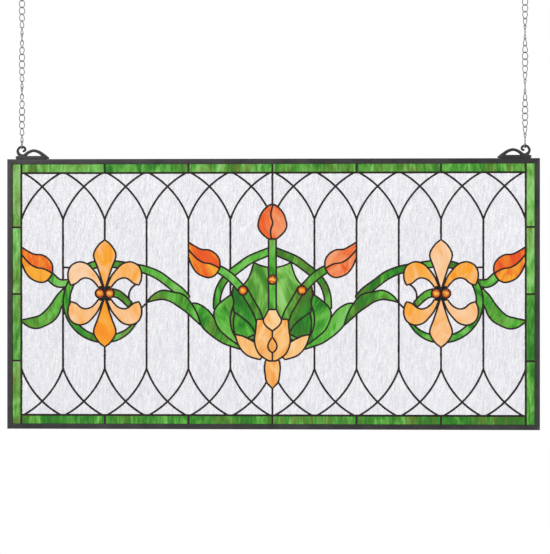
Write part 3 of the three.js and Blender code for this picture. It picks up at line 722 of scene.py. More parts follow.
def lathe(profile, around):
    """Turns (radius, y) pairs about the y axis; the first and last lie on the axis."""
    points = [(0, profile[0][1], 0)]
    for radius, depth in profile[1:-1]:
        for i in range(around):
            turn = 2 * math.pi * i / around
            points.append((radius * math.cos(turn), depth, radius * math.sin(turn)))
    points.append((0, profile[-1][1], 0))
    faces = [(0, 1 + i, 1 + (i + 1) % around) for i in range(around)]
    for j in range(len(profile) - 3):
        for i in range(around):
            a = 1 + j * around + i
            b = 1 + j * around + (i + 1) % around
            faces.append((a, a + around, b + around, b))
    last = len(points) - 1
    start = last - around
    faces += [(last, start + (i + 1) % around, start + i) for i in range(around)]
    return np.array(points), faces


def ellipsoid(centre, radii, around=12, up=6):
    """A closed ball drawn out along each axis, its poles along y."""
    tilts = [math.pi * j / up for j in range(up + 1)]
    points, faces = lathe([(math.sin(tilt), -math.cos(tilt)) for tilt in tilts], around)
    return points * radii + centre, faces


def wire(points, closed, radii, sides=12):
    """A round wire along points in space, its radius given at each of them or for all."""
    count = len(points)
    radii = np.broadcast_to(radii, count)
    way = ways(points, closed)
    side = np.cross(way[0], (0, 1, 0))
    if np.linalg.norm(side) < 0.1:
        side = np.cross(way[0], (1, 0, 0))
    frames = []
    for w in way:
        side = side - w * np.dot(side, w)
        side = side / np.linalg.norm(side)
        frames.append((side, np.cross(w, side)))
    twist = 0.0
    if closed:
        side = frames[-1][0] - way[0] * np.dot(frames[-1][0], way[0])
        twist = math.atan2(np.dot(side, frames[0][1]), np.dot(side, frames[0][0]))
    corners = []
    for i, (side, up) in enumerate(frames):
        for k in range(sides):
            turn = 2 * math.pi * k / sides - twist * i / count
            corners.append(points[i] + radii[i] * (side * math.cos(turn) + up * math.sin(turn)))
    return corners, skin(count, sides, closed)


def scroll(rows):
    """A bent rod in the panel's plane from rows of x, z and radius."""
    line = through(rows, 10)
    points = np.column_stack([line[:, 0], np.zeros(len(line)), line[:, 1]])
    return wire(points, False, line[:, 2])


def rounded(corners, radius, steps=3):
    """A closed outline with each corner turned through a small arc."""
    corners = np.asarray(corners, float)
    points = []
    for before, here, after in zip(np.roll(corners, 1, 0), corners, np.roll(corners, -1, 0)):
        back = before - here
        on = after - here
        start = here + back / np.linalg.norm(back) * radius
        end = here + on / np.linalg.norm(on) * radius
        for i in range(steps + 1):
            t = i / steps
            points.append((1 - t) ** 2 * start + 2 * t * (1 - t) * here + t * t * end)
    return np.array(points)


def resampled(points, closed, step):
    """The same line in even steps of about this length."""
    line = np.vstack([points, points[:1]]) if closed else points
    along = np.concatenate([[0], np.cumsum(np.linalg.norm(np.diff(line, axis=0), axis=1))])
    count = max(12 if closed else 2, round(along[-1] / step))
    at = np.linspace(0, along[-1], count + 1)
    even = np.column_stack([np.interp(at, along, line[:, k]) for k in range(2)])
    return even[:-1] if closed else even


# ---------------------------------------------------------------- materials


def linear(looks):
    """A colour as it looks to the same colour as light."""
    return [c / 12.92 if c <= 0.04045 else ((c + 0.055) / 1.055) ** 2.4 for c in looks]


def rgba(looks, share=1.0):
    """A colour as it looks, made ready for a socket and dimmed or lit by a share."""
    return (*[c * share for c in linear(looks)], 1)


def richer(looks, power=1.3):
    """A colour as it looks, made deeper."""
    return [c ** power for c in looks]


def paler(looks, share):
    """A colour as it looks, brought part of the way to white."""
    return [c + (1 - c) * share for c in looks]


class Nodes:
    """The nodes of a material or of the surroundings, made and joined by short calls."""

    def __init__(self, owner, shader="Principled BSDF"):
        owner.use_nodes = True
        self.owner = owner
        self.tree = owner.node_tree
        self.shader = self.tree.nodes[shader]
        self.coordinates = self.add("ShaderNodeTexCoord").outputs
        self.place = self.coordinates["Object"]

    def add(self, kind, values=None, **settings):
        """A new node, its sockets fed by values and its own settings made."""
        node = self.tree.nodes.new(kind)
        for key, value in settings.items():
            setattr(node, key, value)
        for key, value in (values or {}).items():
            self.feed(node.inputs[key], value)
        return node

    def feed(self, socket, value):
        """Joins a socket to another one, or gives it a plain value."""
        if isinstance(value, bpy.types.NodeSocket):
            self.tree.links.new(value, socket)
        else:
            socket.default_value = value

    def set(self, **values):
        """Feeds the shader's own sockets."""
        for key, value in values.items():
            self.feed(self.shader.inputs[key.replace("_", " ")], value)

    def attribute(self, name):
        """A number that the mesh holds at its points."""
        return self.add("ShaderNodeAttribute", attribute_name=name).outputs["Fac"]

    def stretched(self, scale, turn=None):
        """The object's place, turned in the panel's plane and then scaled on each axis."""
        place = self.place
        if turn is not None:
            place = self.add(
                "ShaderNodeVectorRotate", {"Vector": place, "Angle": turn},
                rotation_type="Y_AXIS").outputs[0]
        return self.add("ShaderNodeMapping", {"Vector": place, "Scale": scale}).outputs[0]

    def noise(self, place, scale, detail=3.0, roughness=0.5, distortion=0.0):
        """Cloudy noise from 0 to 1."""
        return self.add("ShaderNodeTexNoise", {
            "Vector": place, "Scale": scale, "Detail": detail, "Roughness": roughness,
            "Distortion": distortion}).outputs["Fac"]

    def spread(self, value, low, high, to_low=0.0, to_high=1.0):
        """A value between two limits, brought between two others and held there."""
        return self.add("ShaderNodeMapRange", {
            "Value": value, "From Min": low, "From Max": high, "To Min": to_low,
            "To Max": to_high}).outputs[0]

    def math(self, operation, a, b):
        """The sum, product or other outcome of two values."""
        node = self.add("ShaderNodeMath", operation=operation)
        self.feed(node.inputs[0], a)
        self.feed(node.inputs[1], b)
        return node.outputs[0]

    def mix(self, share, a, b):
        """A colour between two others."""
        node = self.add("ShaderNodeMix", data_type="RGBA")
        self.feed(node.inputs[0], share)
        self.feed(node.inputs[6], a)
        self.feed(node.inputs[7], b)
        return node.outputs[2]

    def ramp(self, share, stops):
        """A colour from stops of (place, colour as it looks)."""
        node = self.add("ShaderNodeValToRGB", {"Fac": share})
        elements = node.color_ramp.elements
        while len(elements) < len(stops):
            elements.new(0.5)
        for element, (place, looks) in zip(elements, stops):
            element.position = place
            element.color = rgba(looks)
        return node.outputs[0]

    def bump(self, height, strength, distance):
        """Fine relief on the shader, its distance in metres."""
        normal = self.add("ShaderNodeBump", {
            "Height": height, "Strength": strength, "Distance": distance}).outputs[0]
        self.feed(self.shader.inputs["Normal"], normal)


def material_nodes(name):
    """The nodes of a new material."""
    return Nodes(bpy.data.materials.new(name))


def streaky_glass(name, light, deep, whiter, contrast=0.25, patch=None):
    """Hand-rolled glass: a light and a deep colour run into each other in streaks and clouds.

    Each pane has its own tone, from deep to light. The patches of another colour come and go.
    """
    nodes = material_nodes(name)
    turn = nodes.attribute("grain")
    tone = nodes.attribute("tone")
    depth = nodes.add("ShaderNodeCombineXYZ", {"Y": tone}).outputs[0]
    nodes.place = nodes.add(
        "ShaderNodeVectorMath", {0: nodes.place, 1: depth}, operation="ADD").outputs[0]
    long_way = nodes.stretched((1.0, 1.0, 0.14), turn)
    streaks = nodes.noise(long_way, 300.0, roughness=0.6, distortion=0.7)
    clouds = nodes.noise(
        nodes.stretched((1.0, 1.0, 0.5), turn), 42.0, roughness=0.55, distortion=1.1)
    share = nodes.math(
        "ADD", nodes.spread(streaks, 0.3, 0.7, -contrast, contrast),
        nodes.spread(clouds, 0.3, 0.7, -0.36, 0.36))
    share = nodes.math("ADD", share, nodes.spread(tone, 0.0, 1.0, 0.14, 0.86))
    stops = [(0.0, richer(deep)), (0.28, deep), (0.66, light), (1.0, paler(light, whiter))]
    looks = nodes.ramp(share, stops)
    if patch is not None:
        spots = nodes.noise(
            nodes.stretched((1.0, 1.0, 0.3), turn), 90.0, roughness=0.6, distortion=1.2)
        places = nodes.noise(nodes.place, 9.0, detail=1.0)
        spots = nodes.math(
            "MULTIPLY", nodes.spread(spots, 0.42, 0.62, 0.0, 0.72),
            nodes.spread(places, 0.48, 0.58))
        looks = nodes.mix(spots, looks, rgba(patch))
    nodes.set(
        Base_Color=looks, Transmission_Weight=1.0, Roughness=0.1, IOR=1.5, Specular_IOR_Level=0.3)
    swell = nodes.noise(long_way, 120.0, detail=2.0, distortion=0.6)
    nodes.bump(swell, strength=0.35, distance=0.0006)
    return nodes.owner


def rippled_glass(name, looks):
    """Clear sheet glass with fine wavering ripples that stand nearly upright, and light and dark
    streaks along them painted into its colour: painted highlights and painted shade.
    """
    nodes = material_nodes(name)
    fine = nodes.noise(
        nodes.stretched((1.0, 1.0, 0.15), nodes.attribute("grain")), 400.0, detail=2.0,
        roughness=0.6, distortion=1.1)
    ridge = nodes.spread(fine, 0.42, 0.6)
    broad = nodes.noise(nodes.stretched((1.0, 1.0, 0.5)), 22.0, detail=2.0, distortion=0.8)
    ripple_shade_and_tint = nodes.math(
        "ADD", nodes.math("MULTIPLY", ridge, 0.8), nodes.spread(broad, 0.35, 0.65, 0.15, 0.19))
    tone = nodes.attribute("tone")
    ripple_shade_and_tint = nodes.math("SUBTRACT", ripple_shade_and_tint, nodes.spread(tone, 0.0, 1.0, 0.0, 0.1))
    # Painted light: the ripple ridges become painted highlights and painted shade in the colour; the
    # broad clouds and each pane's tone are the glass's own tint.
    nodes.set(
        Base_Color=nodes.mix(ripple_shade_and_tint, rgba(looks, 0.78), rgba(paler(looks, 0.8))),
        Transmission_Weight=1.0, Roughness=0.03, IOR=1.5, Specular_IOR_Level=0.3)
    nodes.bump(ridge, strength=0.5, distance=0.0006)
    return nodes.owner


def jewel_glass(name, light, deep):
    """Pressed amber glass, painted bright in the middle of its dome as a painted highlight and deep
    towards the rim as painted shade.
    """
    nodes = material_nodes(name)
    swirl = nodes.noise(nodes.place, 260.0, detail=2.0, distortion=1.0)
    share = nodes.math(
        "ADD", nodes.attribute("tone"), nodes.spread(swirl, 0.3, 0.7, -0.3, 0.3))
    # Painted light: the deep stops paint shade at the rim, and the palest stop paints a highlight in
    # the middle of the dome.
    stops = [(0.0, richer(deep, 1.8)), (0.35, deep), (0.72, light), (1.0, paler(light, 0.4))]
    nodes.set(
        Base_Color=nodes.ramp(share, stops), Transmission_Weight=1.0, Roughness=0.02, IOR=1.5,
        Specular_IOR_Level=0.4)
    return nodes.owner


def solder(name, looks):
    """Solder under a dark patina: mottled, with brighter metal where it is rubbed."""
    nodes = material_nodes(name)
    mottle = nodes.noise(nodes.place, 420.0, detail=4.0, roughness=0.6, distortion=0.3)
    wide = nodes.noise(nodes.place, 38.0, detail=2.0)
    share = nodes.math(
        "ADD", nodes.math("MULTIPLY", mottle, 0.5), nodes.math("MULTIPLY", wide, 0.5))
    nodes.set(
        Base_Color=nodes.mix(nodes.spread(share, 0.38, 0.66), rgba(looks, 0.5), rgba(looks, 1.7)),
        Metallic=0.1, Specular_IOR_Level=0.3,
        Roughness=nodes.spread(mottle, 0.3, 0.7, 0.36, 0.56))
    nodes.bump(mottle, strength=0.35, distance=0.0003)
    return nodes.owner


def dark_metal(name, looks, metallic, grain):
    """Painted or plated metal with a fine grain and a little wear."""
    nodes = material_nodes(name)
    fine = nodes.noise(nodes.place, grain, detail=4.0, roughness=0.6)
    wide = nodes.noise(nodes.place, 30.0, distortion=0.4)
    share = nodes.math(
        "ADD", nodes.math("MULTIPLY", fine, 0.4), nodes.math("MULTIPLY", wide, 0.6))
    nodes.set(
        Base_Color=nodes.mix(
            nodes.spread(share, 0.36, 0.66), rgba(looks, 0.75), rgba(looks, 1.35)),
        Metallic=metallic, Roughness=nodes.spread(wide, 0.3, 0.7, 0.34, 0.5))
    nodes.bump(fine, strength=0.2, distance=0.0002)
    return nodes.owner


# ---------------------------------------------------------------- what the operators share

# The border's joints stop this far short of the frame's lip; its glass runs this share under it.
LIP_GAP = 0.3
UNDER_LIP = 0.5

# How far a pane's rim lies within its place in the solder, and the least area of a pane.
PANE_GAP = 0.45
LEAST_AREA = 4.0

# How light each pane of a flower is, from 0 to 1, on the left side and on the right: the petals of
# a fleur-de-lis in turn from its upper right one, the buds from their lower half up.
FLOWER_TONES = {
    "fleur": {-1: (0.56, 0.42, 1.0, 0.72, 0.06, 0.72), 1: (0.36, 0.95, 0.4, 0.55, 0.74, 0.84)},
    "bud_side": {-1: (0.74, 0.44), 1: (0.56, 0.12)},
    "bud_inner": {-1: (0.64, 0.18), 1: (0.56, 0.72)}}

# The same for the strips of the border, the rows from left to right and the sides from the top down.
BORDER_TONES = {
    "top": (0.6, 0.3, 0.5, 0.36, 0.46, 0.34), "bottom": (0.2, 0.26, 0.14, 0.3, 0.18, 0.04),
    "left": (0.95, 0.8, 0.56, 0.72), "right": (0.9, 0.78, 0.26, 0.42)}


@functools.cache
def sheet(frame_face):
    """The drawing's panes and lead lines, worked out once for a width of the frame's face."""
    drawing = Drawing(frame_face + LIP_GAP)
    return cut_panes(drawing, frame_face * UNDER_LIP), lead_lines(drawing)


def pane_tone(centre, name, side):
    """A number from 0, deep, to 1, light, for a pane; the same each time."""
    x, z = centre
    if name == "fleur":
        turn = math.atan2(z - FLEUR[1], x - side * FLEUR[0])
        return FLOWER_TONES[name][side][int(turn % (2 * math.pi) // (math.pi / 3))]
    if name in FLOWER_TONES:
        anchor = SIDE_BUD if name == "bud_side" else INNER_BUD
        return FLOWER_TONES[name][side][int(z > anchor[1] - 20)]
    if name == "border" and abs(x) > FIELD_X:
        strips = BORDER_TONES["right" if x > 0 else "left"]
        return strips[int((0.5 - z / PANEL_HEIGHT) * len(strips))]
    if name == "border":
        strips = BORDER_TONES["top" if z > 0 else "bottom"]
        return strips[int((0.5 + x / FIELD_X / 2) * len(strips))]
    if name == "centre_flower":
        return 0.3 + 0.26 * (x < 0) + 0.4 * (x > 30) + 0.3 * (z > -60 and abs(x) < 8)
    if name == "fan":
        return 0.3 + 0.28 * (x > 0)
    if name == "bud_centre":
        return 0.3 + 0.26 * (x > 0)
    value = 0.5 + 0.58 * noise.noise(Vector((x * 0.37, z * 0.41, 3.7)))
    if name == "foliage" and z < 20:
        value -= 0.22 * (40 < abs(x) < 70)
    return min(max(value, 0.0), 1.0)


def level_grain(centre):
    """The streaks of the border's glass stand upright in every strip."""
    return 0.0


def noisy_grain(centre):
    """The streaks of the flowers' and leaves' glass lean another way in each pane."""
    return 1.2 * noise.noise(Vector((centre[0] * 0.021, 0.7, centre[1] * 0.021)))


def leaning_grain(centre):
    """The ripples of the clear glass all lean a little the same way."""
    return 0.12 * noisy_grain(centre) - 0.1


def add_panes(build, panes, thickness, grain):
    """Gives each flat pane its thickness, a little smaller than its place in the solder."""
    half = thickness / 2
    for name, side, points, triangles in panes:
        if area_of(points, triangles) < LEAST_AREA:
            continue
        rim = rim_edges(triangles)
        flat = drawn_in(points, rim, PANE_GAP)
        count = len(flat)
        corners = [(x, -half, z) for x, z in flat] + [(x, half, z) for x, z in flat]
        faces = [tuple(t) for t in triangles.tolist()]
        faces += [tuple(count + i for i in reversed(t)) for t in triangles.tolist()]
        faces += [(b, a, a + count, b + count) for a, b in rim]
        centre = points.mean(0)
        build.add(corners, faces, pane_tone(centre, name, side), grain(centre))


def nodes_named(*starts):
    """The names of the part's solids that start in one of these ways."""
    return [name for name in frame["nodes"] if name.startswith(starts)]


# ---------------------------------------------------------------- one operator for each piece


class PanelOperator:
    """What every operator of the panel shares."""

    bl_options = {"REGISTER", "UNDO"}

    @property
    def sizes(self):
        return bpy.context.scene.panel_sizes

    @property
    def colours(self):
        return bpy.context.scene.panel_colours

    def cut(self, glass, side, name, material, slot, *nodes, grain=noisy_grain):
        """One piece from the panes of a glass, on one side or, with None, wherever they are."""
        panes, _ = sheet(self.sizes.frame_face)
        panes = [row for row in panes if row[0] == glass and side in (None, row[1])]
        build = Build()
        add_panes(build, panes, self.sizes.glass, grain)
        settle(build.piece(name, material, False), slot, *nodes)


class GLASS_OT_clear(PanelOperator, bpy.types.Operator):
    """Cut the clear rippled panes of the lattice"""

    bl_idname = "glass.clear"
    bl_label = "Clear glass"

    def execute(self, context):
        material = rippled_glass("clear rippled glass", self.colours.clear)
        nodes = nodes_named("clear_")
        self.cut("clear", None, "clear_glass", material, "clear_glass", *nodes, grain=leaning_grain)
        return {"FINISHED"}


class GLASS_OT_border(PanelOperator, bpy.types.Operator):
    """Cut the green strips of the border"""

    bl_idname = "glass.border"
    bl_label = "Border glass"

    def execute(self, context):
        colours = self.colours
        material = streaky_glass(
            "border glass", colours.border, colours.border_deep, 0.3, 0.34, colours.olive)
        nodes = nodes_named("border_")
        self.cut("border", None, "border_glass", material, "border_glass", *nodes, grain=level_grain)
        return {"FINISHED"}


class GLASS_OT_leaves(PanelOperator, bpy.types.Operator):
    """Cut the green panes: leaves, vines, hoops and tendrils"""

    bl_idname = "glass.leaves"
    bl_label = "Leaves and stems"

    def execute(self, context):
        colours = self.colours
        leaf = streaky_glass(
            "leaf glass", colours.leaf, colours.leaf_deep, 0.25, patch=colours.olive)
        fan = streaky_glass("fan glass", colours.fan, colours.fan_deep, 0.24)
        self.cut("foliage", None, "foliage", leaf, "leaf_glass", "foliage")
        self.cut("fan", None, "fan", fan, "leaf_glass", "foliage")
        for side, word in SIDES:
            hoops = (f"ring_and_stem_{word}", f"ring_lower_inner_{word}")
            self.cut("ring", side, f"ring_{word}", leaf, "leaf_glass", *hoops)
            tendril = f"tendril_{word}"
            self.cut("tendril", side, f"{tendril}_glass", leaf, "leaf_glass", tendril)
        return {"FINISHED"}


class GLASS_OT_flowers(PanelOperator, bpy.types.Operator):
    """Cut the orange and peach panes: buds, the centre flower and the two fleurs-de-lis"""

    bl_idname = "glass.flowers"
    bl_label = "Flowers and buds"

    def execute(self, context):
        colours = self.colours
        fleur = streaky_glass("fleur glass", colours.pale, colours.pale_deep, 0.3, 0.14)
        peach = streaky_glass("flower glass", colours.peach, colours.peach_deep, 0.3, 0.14)
        bud = streaky_glass("bud glass", colours.bud, colours.bud_deep, 0.1, 0.18)
        rose = streaky_glass("rose glass", colours.rose, colours.bud_deep, 0.2, 0.18)
        self.cut("centre_flower", None, "flower", peach, "pink_orange_glass", "centre_flower")
        self.cut("bud_centre", None, "bud_middle", rose, "orange_glass", "bud_centre")
        for side, word in SIDES:
            inner = rose if side > 0 else bud
            for name, glass in (("bud_side", bud), ("bud_inner", inner)):
                node = f"{name}_{word}"
                self.cut(name, side, f"{node}_glass", glass, "orange_glass", node)
            petals = [name for name in nodes_named("fleur_petal_") if name.endswith(word)]
            self.cut("fleur", side, f"fleur_{word}", fleur, "pale_orange_glass", *petals)
        return {"FINISHED"}


# A jewel's outline from front to back: the share of its radius, and how deep it lies.
JEWEL_DOME = [(0, -5.2), (0.25, -5.15), (0.5, -4.85), (0.72, -4.2), (0.88, -3.2), (0.97, -1.9),
              (1, -0.4), (0.99, 1.1), (0.9, 1.7), (0.5, 2.15), (0, 2.3)]
JEWEL_GAP = 0.15


class GLASS_OT_jewels(PanelOperator, bpy.types.Operator):
    """Press the seven domed amber jewels"""

    bl_idname = "glass.jewels"
    bl_label = "Jewels"

    def execute(self, context):
        material = jewel_glass("amber glass", self.colours.amber, self.colours.amber_rim_shade)
        radius = JEWEL_RING - self.sizes.jewel_bead - JEWEL_GAP
        points, faces = lathe([(radius * share, depth) for share, depth in JEWEL_DOME], 40)
        # Painted light: each jewel's tone is highest in the middle of its dome, a painted highlight,
        # and falls to painted shade at the rim.
        away = np.hypot(points[:, 0], points[:, 2]) / radius
        tone = 0.88 - 1.05 * away ** 1.7
        for node in nodes_named("jewel_"):
            low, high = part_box(node)
            middle = (low + high) / 2 / MM
            build = Build()
            build.add(points + (middle.x, 0, middle.z - MIDDLE_Z / MM), faces, tone)
            settle(build.piece(f"{node}_dome", material), "amber_glass", node)
        return {"FINISHED"}


# Small pools of solder round a fleur-de-lis's two jewels: how far across and up, and the radius.
HUB_POOLS = [(0, 7.4, 3.6), (0, -7.4, 3.6), (8, 9.6, 2.6), (-8, 9.6, 2.6), (8, -9.6, 2.6),
             (-8, -9.6, 2.6), (4, 9.4, 2.4), (-4, 9.4, 2.4), (4, -9.4, 2.4), (-4, -9.4, 2.4)]


def bead_section(half_width, glass_half, rise, steps=5):
    """A bead's outline: rounded over the front and the back of the glass, straight between."""
    turns = [math.pi * i / steps for i in range(steps + 1)]
    front = [(half_width * math.cos(t), -glass_half - rise * math.sin(t)) for t in turns]
    back = [(-half_width * math.cos(t), glass_half + rise * math.sin(t)) for t in turns]
    return front + back


def add_bead(build, points, closed, half_width, sizes, seed):
    """One run of solder, a little uneven, with a fuller joint at each open end."""
    path = resampled(points, closed, sizes.bead_step)
    section = bead_section(half_width, sizes.glass / 2, sizes.bead_rise)
    scale = [
        (1 + 0.11 * noise.noise(Vector((x * 0.13, seed, z * 0.13))),
         1 + 0.05 * noise.noise(Vector((x * 0.19, seed + 5, z * 0.19))))
        for x, z in path]
    build.add(*tube(path, closed, section, scale))
    if not closed:
        depth = (sizes.glass / 2 + sizes.bead_rise) * 1.03
        radius = half_width * 1.12
        for x, z in (path[0], path[-1]):
            build.add(*ellipsoid((x, 0, z), (radius, depth, radius)))


class GLASS_OT_solder(PanelOperator, bpy.types.Operator):
    """Run the solder beads along every joint, on the front and the back"""

    bl_idname = "glass.solder"
    bl_label = "Solder"

    def execute(self, context):
        sizes = self.sizes
        material = solder("dark solder", self.colours.patina)
        _, leads = sheet(sizes.frame_face)
        lattice, border, flowers = Build(), Build(), Build()
        runs = {
            "clear": (lattice, sizes.bead), "edge": (border, sizes.bead),
            "jewel": (flowers, sizes.jewel_bead)}
        for i, (name, _, points, closed) in enumerate(leads):
            build, half_width = runs.get(name, (flowers, sizes.flower_bead))
            add_bead(build, points, closed, half_width, sizes, i * 0.37)
        depth = sizes.glass / 2 + sizes.bead_rise
        for side, _ in SIDES:
            for x, z, radius in HUB_POOLS:
                middle = (side * FLEUR[0] + x, 0, FLEUR[1] + z)
                flowers.add(*ellipsoid(middle, (radius, depth, radius)))
        for word, build in (("lattice", lattice), ("border", border), ("flowers", flowers)):
            settle(build.piece(f"solder_{word}", material), "solder", "leading")
        return {"FINISHED"}


class GLASS_OT_frame(PanelOperator, bpy.types.Operator):
    """Mitre the four channel bars of the frame"""

    bl_idname = "glass.frame"
    bl_label = "Frame"

    def execute(self, context):
        sizes = self.sizes
        material = dark_metal("frame metal", self.colours.metal, 0.7, 900.0)
        half = sizes.frame_depth / 2
        slot = sizes.glass / 2 + 0.05
        face = sizes.frame_face
        web = 2.5
        corner = 0.45
        mitre_gap = 0.12
        outline = rounded(
            [(0, -half), (face, -half), (face, -slot), (web, -slot),
             (web, slot), (face, slot), (face, half), (0, half)], corner)
        sides = {
            "top": ((0, 1), PANEL_WIDTH, PANEL_HEIGHT), "bottom": ((0, -1), PANEL_WIDTH, PANEL_HEIGHT),
            "left": ((-1, 0), PANEL_HEIGHT, PANEL_WIDTH), "right": ((1, 0), PANEL_HEIGHT, PANEL_WIDTH)}
        for word, (outward, length, across) in sides.items():
            outward = np.array(outward, float)
            along = np.array([-outward[1], outward[0]])
            points = []
            for end in (-1, 1):
                for inward, depth in outline:
                    reach = length / 2 - inward - mitre_gap
                    at = outward * (across / 2 - inward) + along * end * reach
                    points.append((at[0], depth, at[1]))
            build = Build()
            build.add(points, skin(2, len(outline), False))
            settle(build.piece(f"bar_{word}", material), "dark_metal", f"frame_{word}")
        return {"FINISHED"}


# A bracket from its foot on the frame's top edge, as x, height and radius: the curled hook, the
# arch behind it, and the ball that joins them. Its bar is x and the share of its full section.
HOOK = [(414.6, 3.2, 3.3), (417.2, 6.6, 2.9), (420.2, 10, 2.4), (421, 14.5, 2.15),
        (418.3, 19, 2.0), (413.6, 20.6, 2.0), (409.4, 18.7, 1.95), (408.7, 15, 1.9),
        (411.4, 13.4, 1.9)]
ARCH = [(413.4, 3.2, 3.1), (408.7, 7, 2.9), (403, 11.4, 2.55), (395, 14.2, 2.4),
        (386.5, 12, 2.6), (379.5, 7.4, 2.9), (374, 3.6, 2.7), (370.4, 1.9, 1.7)]
KNUCKLE = (414.2, 5.3, 3.3)
BAR = [(371.6, 0.2), (372.2, 0.7), (373.4, 0.95), (376, 1), (385, 1), (395, 1), (405, 1),
       (415, 1), (420, 1), (422.6, 0.95), (424, 0.7), (424.6, 0.2)]
BAR_HALF_HIGH = 2.75
BAR_HALF_DEEP = 3


class GLASS_OT_brackets(PanelOperator, bpy.types.Operator):
    """Cast the two brackets: a bar on the frame, a scroll arch and a curled hook"""

    bl_idname = "glass.brackets"
    bl_label = "Brackets"

    def execute(self, context):
        material = dark_metal("bracket metal", self.colours.metal, 0.7, 700.0)
        foot = PANEL_HEIGHT / 2
        high, deep = BAR_HALF_HIGH, BAR_HALF_DEEP
        section = rounded([(-high, -deep), (high, -deep), (high, deep), (-high, deep)], 0.8)
        path = np.array([(x, foot + high) for x, _ in BAR])
        bar = tube(path, False, section, [(share, share) for _, share in BAR])
        rods = [scroll([(x, foot + z, radius) for x, z, radius in rows]) for rows in (HOOK, ARCH)]
        for side, word in SIDES:
            build = Build()
            for points, faces in (*rods, bar):
                build.add(np.asarray(points) * (side, 1, 1), faces)
            for x, z, radius in (HOOK[-1], ARCH[-1], KNUCKLE):
                build.add(*ellipsoid((side * x, 0, foot + z), (radius, radius, radius)))
            settle(build.piece(f"bracket_{word}_cast", material), "dark_metal", f"bracket_{word}")
        return {"FINISHED"}


# A chain's links turn slowly: the link that lies flat to the front, counted from the lowest one,
# and how many links make half a turn. Each is bent a little, like a saddle.
FLAT_LINK = 20.7
HALF_TURN = 8
LINK_BEND = 0.9

# Half the thickness of a hanging ring's wire.
RING_WIRE_HALF = 0.95


class GLASS_OT_chains(PanelOperator, bpy.types.Operator):
    """Link the two chains, whose links turn slowly round the chain's own line"""

    bl_idname = "glass.chains"
    bl_label = "Chains"

    def execute(self, context):
        sizes = self.sizes
        material = dark_metal("chain steel", self.colours.steel, 0.9, 1200.0)
        radius = sizes.link_wire / 2
        turns = np.linspace(0, 2 * math.pi, 28, endpoint=False)
        across = (sizes.link_width - sizes.link_wire) / 2 * np.cos(turns)
        depth = LINK_BEND * np.sin(2 * turns)
        for side, word in SIDES:
            low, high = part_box(f"chain_{word}")
            bottom = (low.z - MIDDLE_Z) / MM + radius
            top = (high.z - MIDDLE_Z) / MM - radius
            pitch = (top - bottom - sizes.link_wire) / sizes.links
            half_long = (pitch + sizes.link_wire) / 2
            middle = (low.x + high.x) / 2 / MM
            build = Build()
            for i in range(sizes.links):
                angle = -side * math.pi * (FLAT_LINK - i) / HALF_TURN
                points = np.column_stack([
                    middle + across * math.cos(angle) - depth * math.sin(angle),
                    across * math.sin(angle) + depth * math.cos(angle),
                    bottom + half_long + i * pitch + half_long * np.sin(turns)])
                build.add(*wire(points, True, radius, 9))
            settle(build.piece(f"links_{word}", material), "chain_steel", f"chain_{word}")
        return {"FINISHED"}


class GLASS_OT_rings(PanelOperator, bpy.types.Operator):
    """Bend the two rings that the chains hang by"""

    bl_idname = "glass.rings"
    bl_label = "Hanging rings"

    def execute(self, context):
        material = dark_metal("ring steel", self.colours.steel, 0.9, 1200.0)
        turns = np.linspace(0, 2 * math.pi, 48, endpoint=False)
        for _, word in SIDES:
            low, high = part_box(f"hanging_ring_{word}")
            middle = (low + high) / 2 / MM
            radius = (high.z - low.z) / MM / 2 - RING_WIRE_HALF
            points = np.column_stack([
                np.full(len(turns), middle.x), radius * np.cos(turns),
                middle.z - MIDDLE_Z / MM + radius * np.sin(turns)])
            build = Build()
            build.add(*wire(points, True, RING_WIRE_HALF))
            settle(build.piece(f"ring_{word}_wire", material), "chain_steel", f"hanging_ring_{word}")
        return {"FINISHED"}


# Where the floor lies under the panel's centre, its half sizes and its thickness, in millimetres.
FLOOR_Z = -760
FLOOR_HALF = (1500, 1100)
FLOOR_THICK = 15


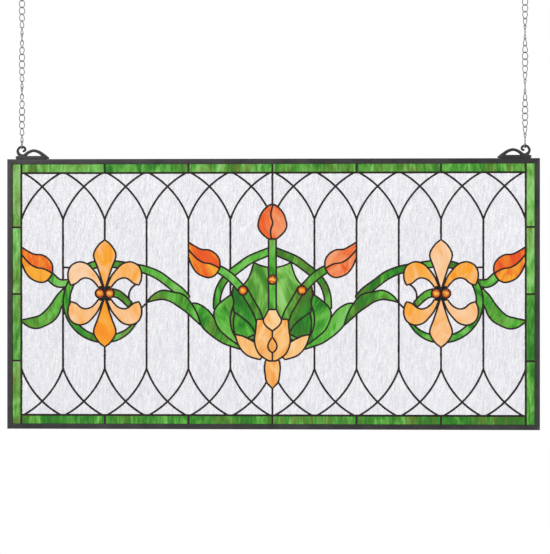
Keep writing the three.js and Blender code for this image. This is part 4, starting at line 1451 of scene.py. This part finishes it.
class GLASS_OT_stage(PanelOperator, bpy.types.Operator):
    """Set the floor, the light and the camera"""

    bl_idname = "glass.stage"
    bl_label = "Stage"

    def execute(self, context):
        self.floor()
        self.surroundings(context.scene)
        self.lamp("soft_key", place=(-1.6, -2.2, 1.1), size=1.8, power=26)
        self.lamp("soft_fill", place=(1.9, -1.8, -0.2), size=1.6, power=10)
        target = Vector((0.0043, 0, MIDDLE_Z + 0.028))
        self.camera(context.scene, target, degrees=2.0, half_seen=0.4556)
        return {"FINISHED"}

    def floor(self):
        """A pale floor well below the panel."""
        nodes = material_nodes("pale floor")
        grain = nodes.noise(nodes.place, 9.0, detail=2.0)
        nodes.set(
            Base_Color=nodes.mix(grain, (0.86, 0.86, 0.86, 1), (0.9, 0.9, 0.9, 1)), Roughness=0.7)
        x, y = FLOOR_HALF
        points = [
            (*corner, z) for z in (FLOOR_Z, FLOOR_Z - FLOOR_THICK)
            for corner in ((-x, -y), (x, -y), (x, y), (-x, y))]
        faces = [(0, 1, 2, 3), (7, 6, 5, 4), (0, 4, 5, 1), (1, 5, 6, 2), (2, 6, 7, 3), (3, 7, 4, 0)]
        put_mesh("floor", points, faces, nodes.owner, False)

    def surroundings(self, scene):
        """White behind the panel, and a little darker in front of it."""
        nodes = Nodes(bpy.data.worlds.new("soft room"), "Background")
        way = nodes.add("ShaderNodeSeparateXYZ", {"Vector": nodes.coordinates["Generated"]})
        nodes.set(
            Color=(1, 1, 1, 1), Strength=nodes.spread(way.outputs["Y"], -0.3, 0.7, 0.62, 1.0))
        scene.world = nodes.owner
        scene.view_settings.view_transform = "Standard"

    def lamp(self, name, place, size, power):
        """A square lamp, its place given in metres from the panel's centre, that shines on it."""
        light = bpy.data.lights.new(name, "AREA")
        light.size = size
        light.energy = power
        centre = Vector((0, 0, MIDDLE_Z))
        self.stand(bpy.data.objects.new(name, light), centre + Vector(place), centre)

    def camera(self, scene, target, degrees, half_seen):
        """A long lens a little to the side, so far off that it sees half_seen to either side."""
        camera = bpy.data.cameras.new("camera")
        camera.lens = 124.0
        camera.sensor_width = 36.0
        camera.dof.use_dof = False
        turn = math.radians(degrees)
        distance = half_seen * 2 * camera.lens / camera.sensor_width
        place = target + Vector((math.sin(turn), -math.cos(turn), 0)) * distance
        scene.camera = self.stand(bpy.data.objects.new("camera", camera), place, target)

    def stand(self, item, place, target):
        """Puts a lamp or the camera in its place, turned to a target."""
        bpy.context.scene.collection.objects.link(item)
        item.location = place
        item.rotation_euler = (target - item.location).to_track_quat("-Z", "Y").to_euler()
        return item


class GLASS_PT_panel(bpy.types.Panel):
    """The panel's steps in the sidebar"""

    bl_label = "Stained Glass Panel"
    bl_idname = "GLASS_PT_panel"
    bl_space_type = "VIEW_3D"
    bl_region_type = "UI"
    bl_category = "Glass Panel"

    def draw(self, context):
        for operator in OPERATORS:
            self.layout.operator(operator.bl_idname)
        for group in (context.scene.panel_sizes, context.scene.panel_colours):
            box = self.layout.box()
            for name in group.__annotations__:
                box.prop(group, name)


OPERATORS = (
    GLASS_OT_clear, GLASS_OT_border, GLASS_OT_leaves, GLASS_OT_flowers, GLASS_OT_jewels,
    GLASS_OT_solder, GLASS_OT_frame, GLASS_OT_brackets, GLASS_OT_chains, GLASS_OT_rings,
    GLASS_OT_stage)
CLASSES = (PanelSizes, PanelColours, *OPERATORS, GLASS_PT_panel)


def register():
    for item in CLASSES:
        bpy.utils.register_class(item)
    bpy.types.Scene.panel_sizes = PointerProperty(type=PanelSizes)
    bpy.types.Scene.panel_colours = PointerProperty(type=PanelColours)


def unregister():
    del bpy.types.Scene.panel_colours
    del bpy.types.Scene.panel_sizes
    for item in reversed(CLASSES):
        bpy.utils.unregister_class(item)


def main():
    register()
    for operator in OPERATORS:
        group, name = operator.bl_idname.split(".")
        getattr(getattr(bpy.ops, group), name)()


if __name__ == "__main__":
    main()
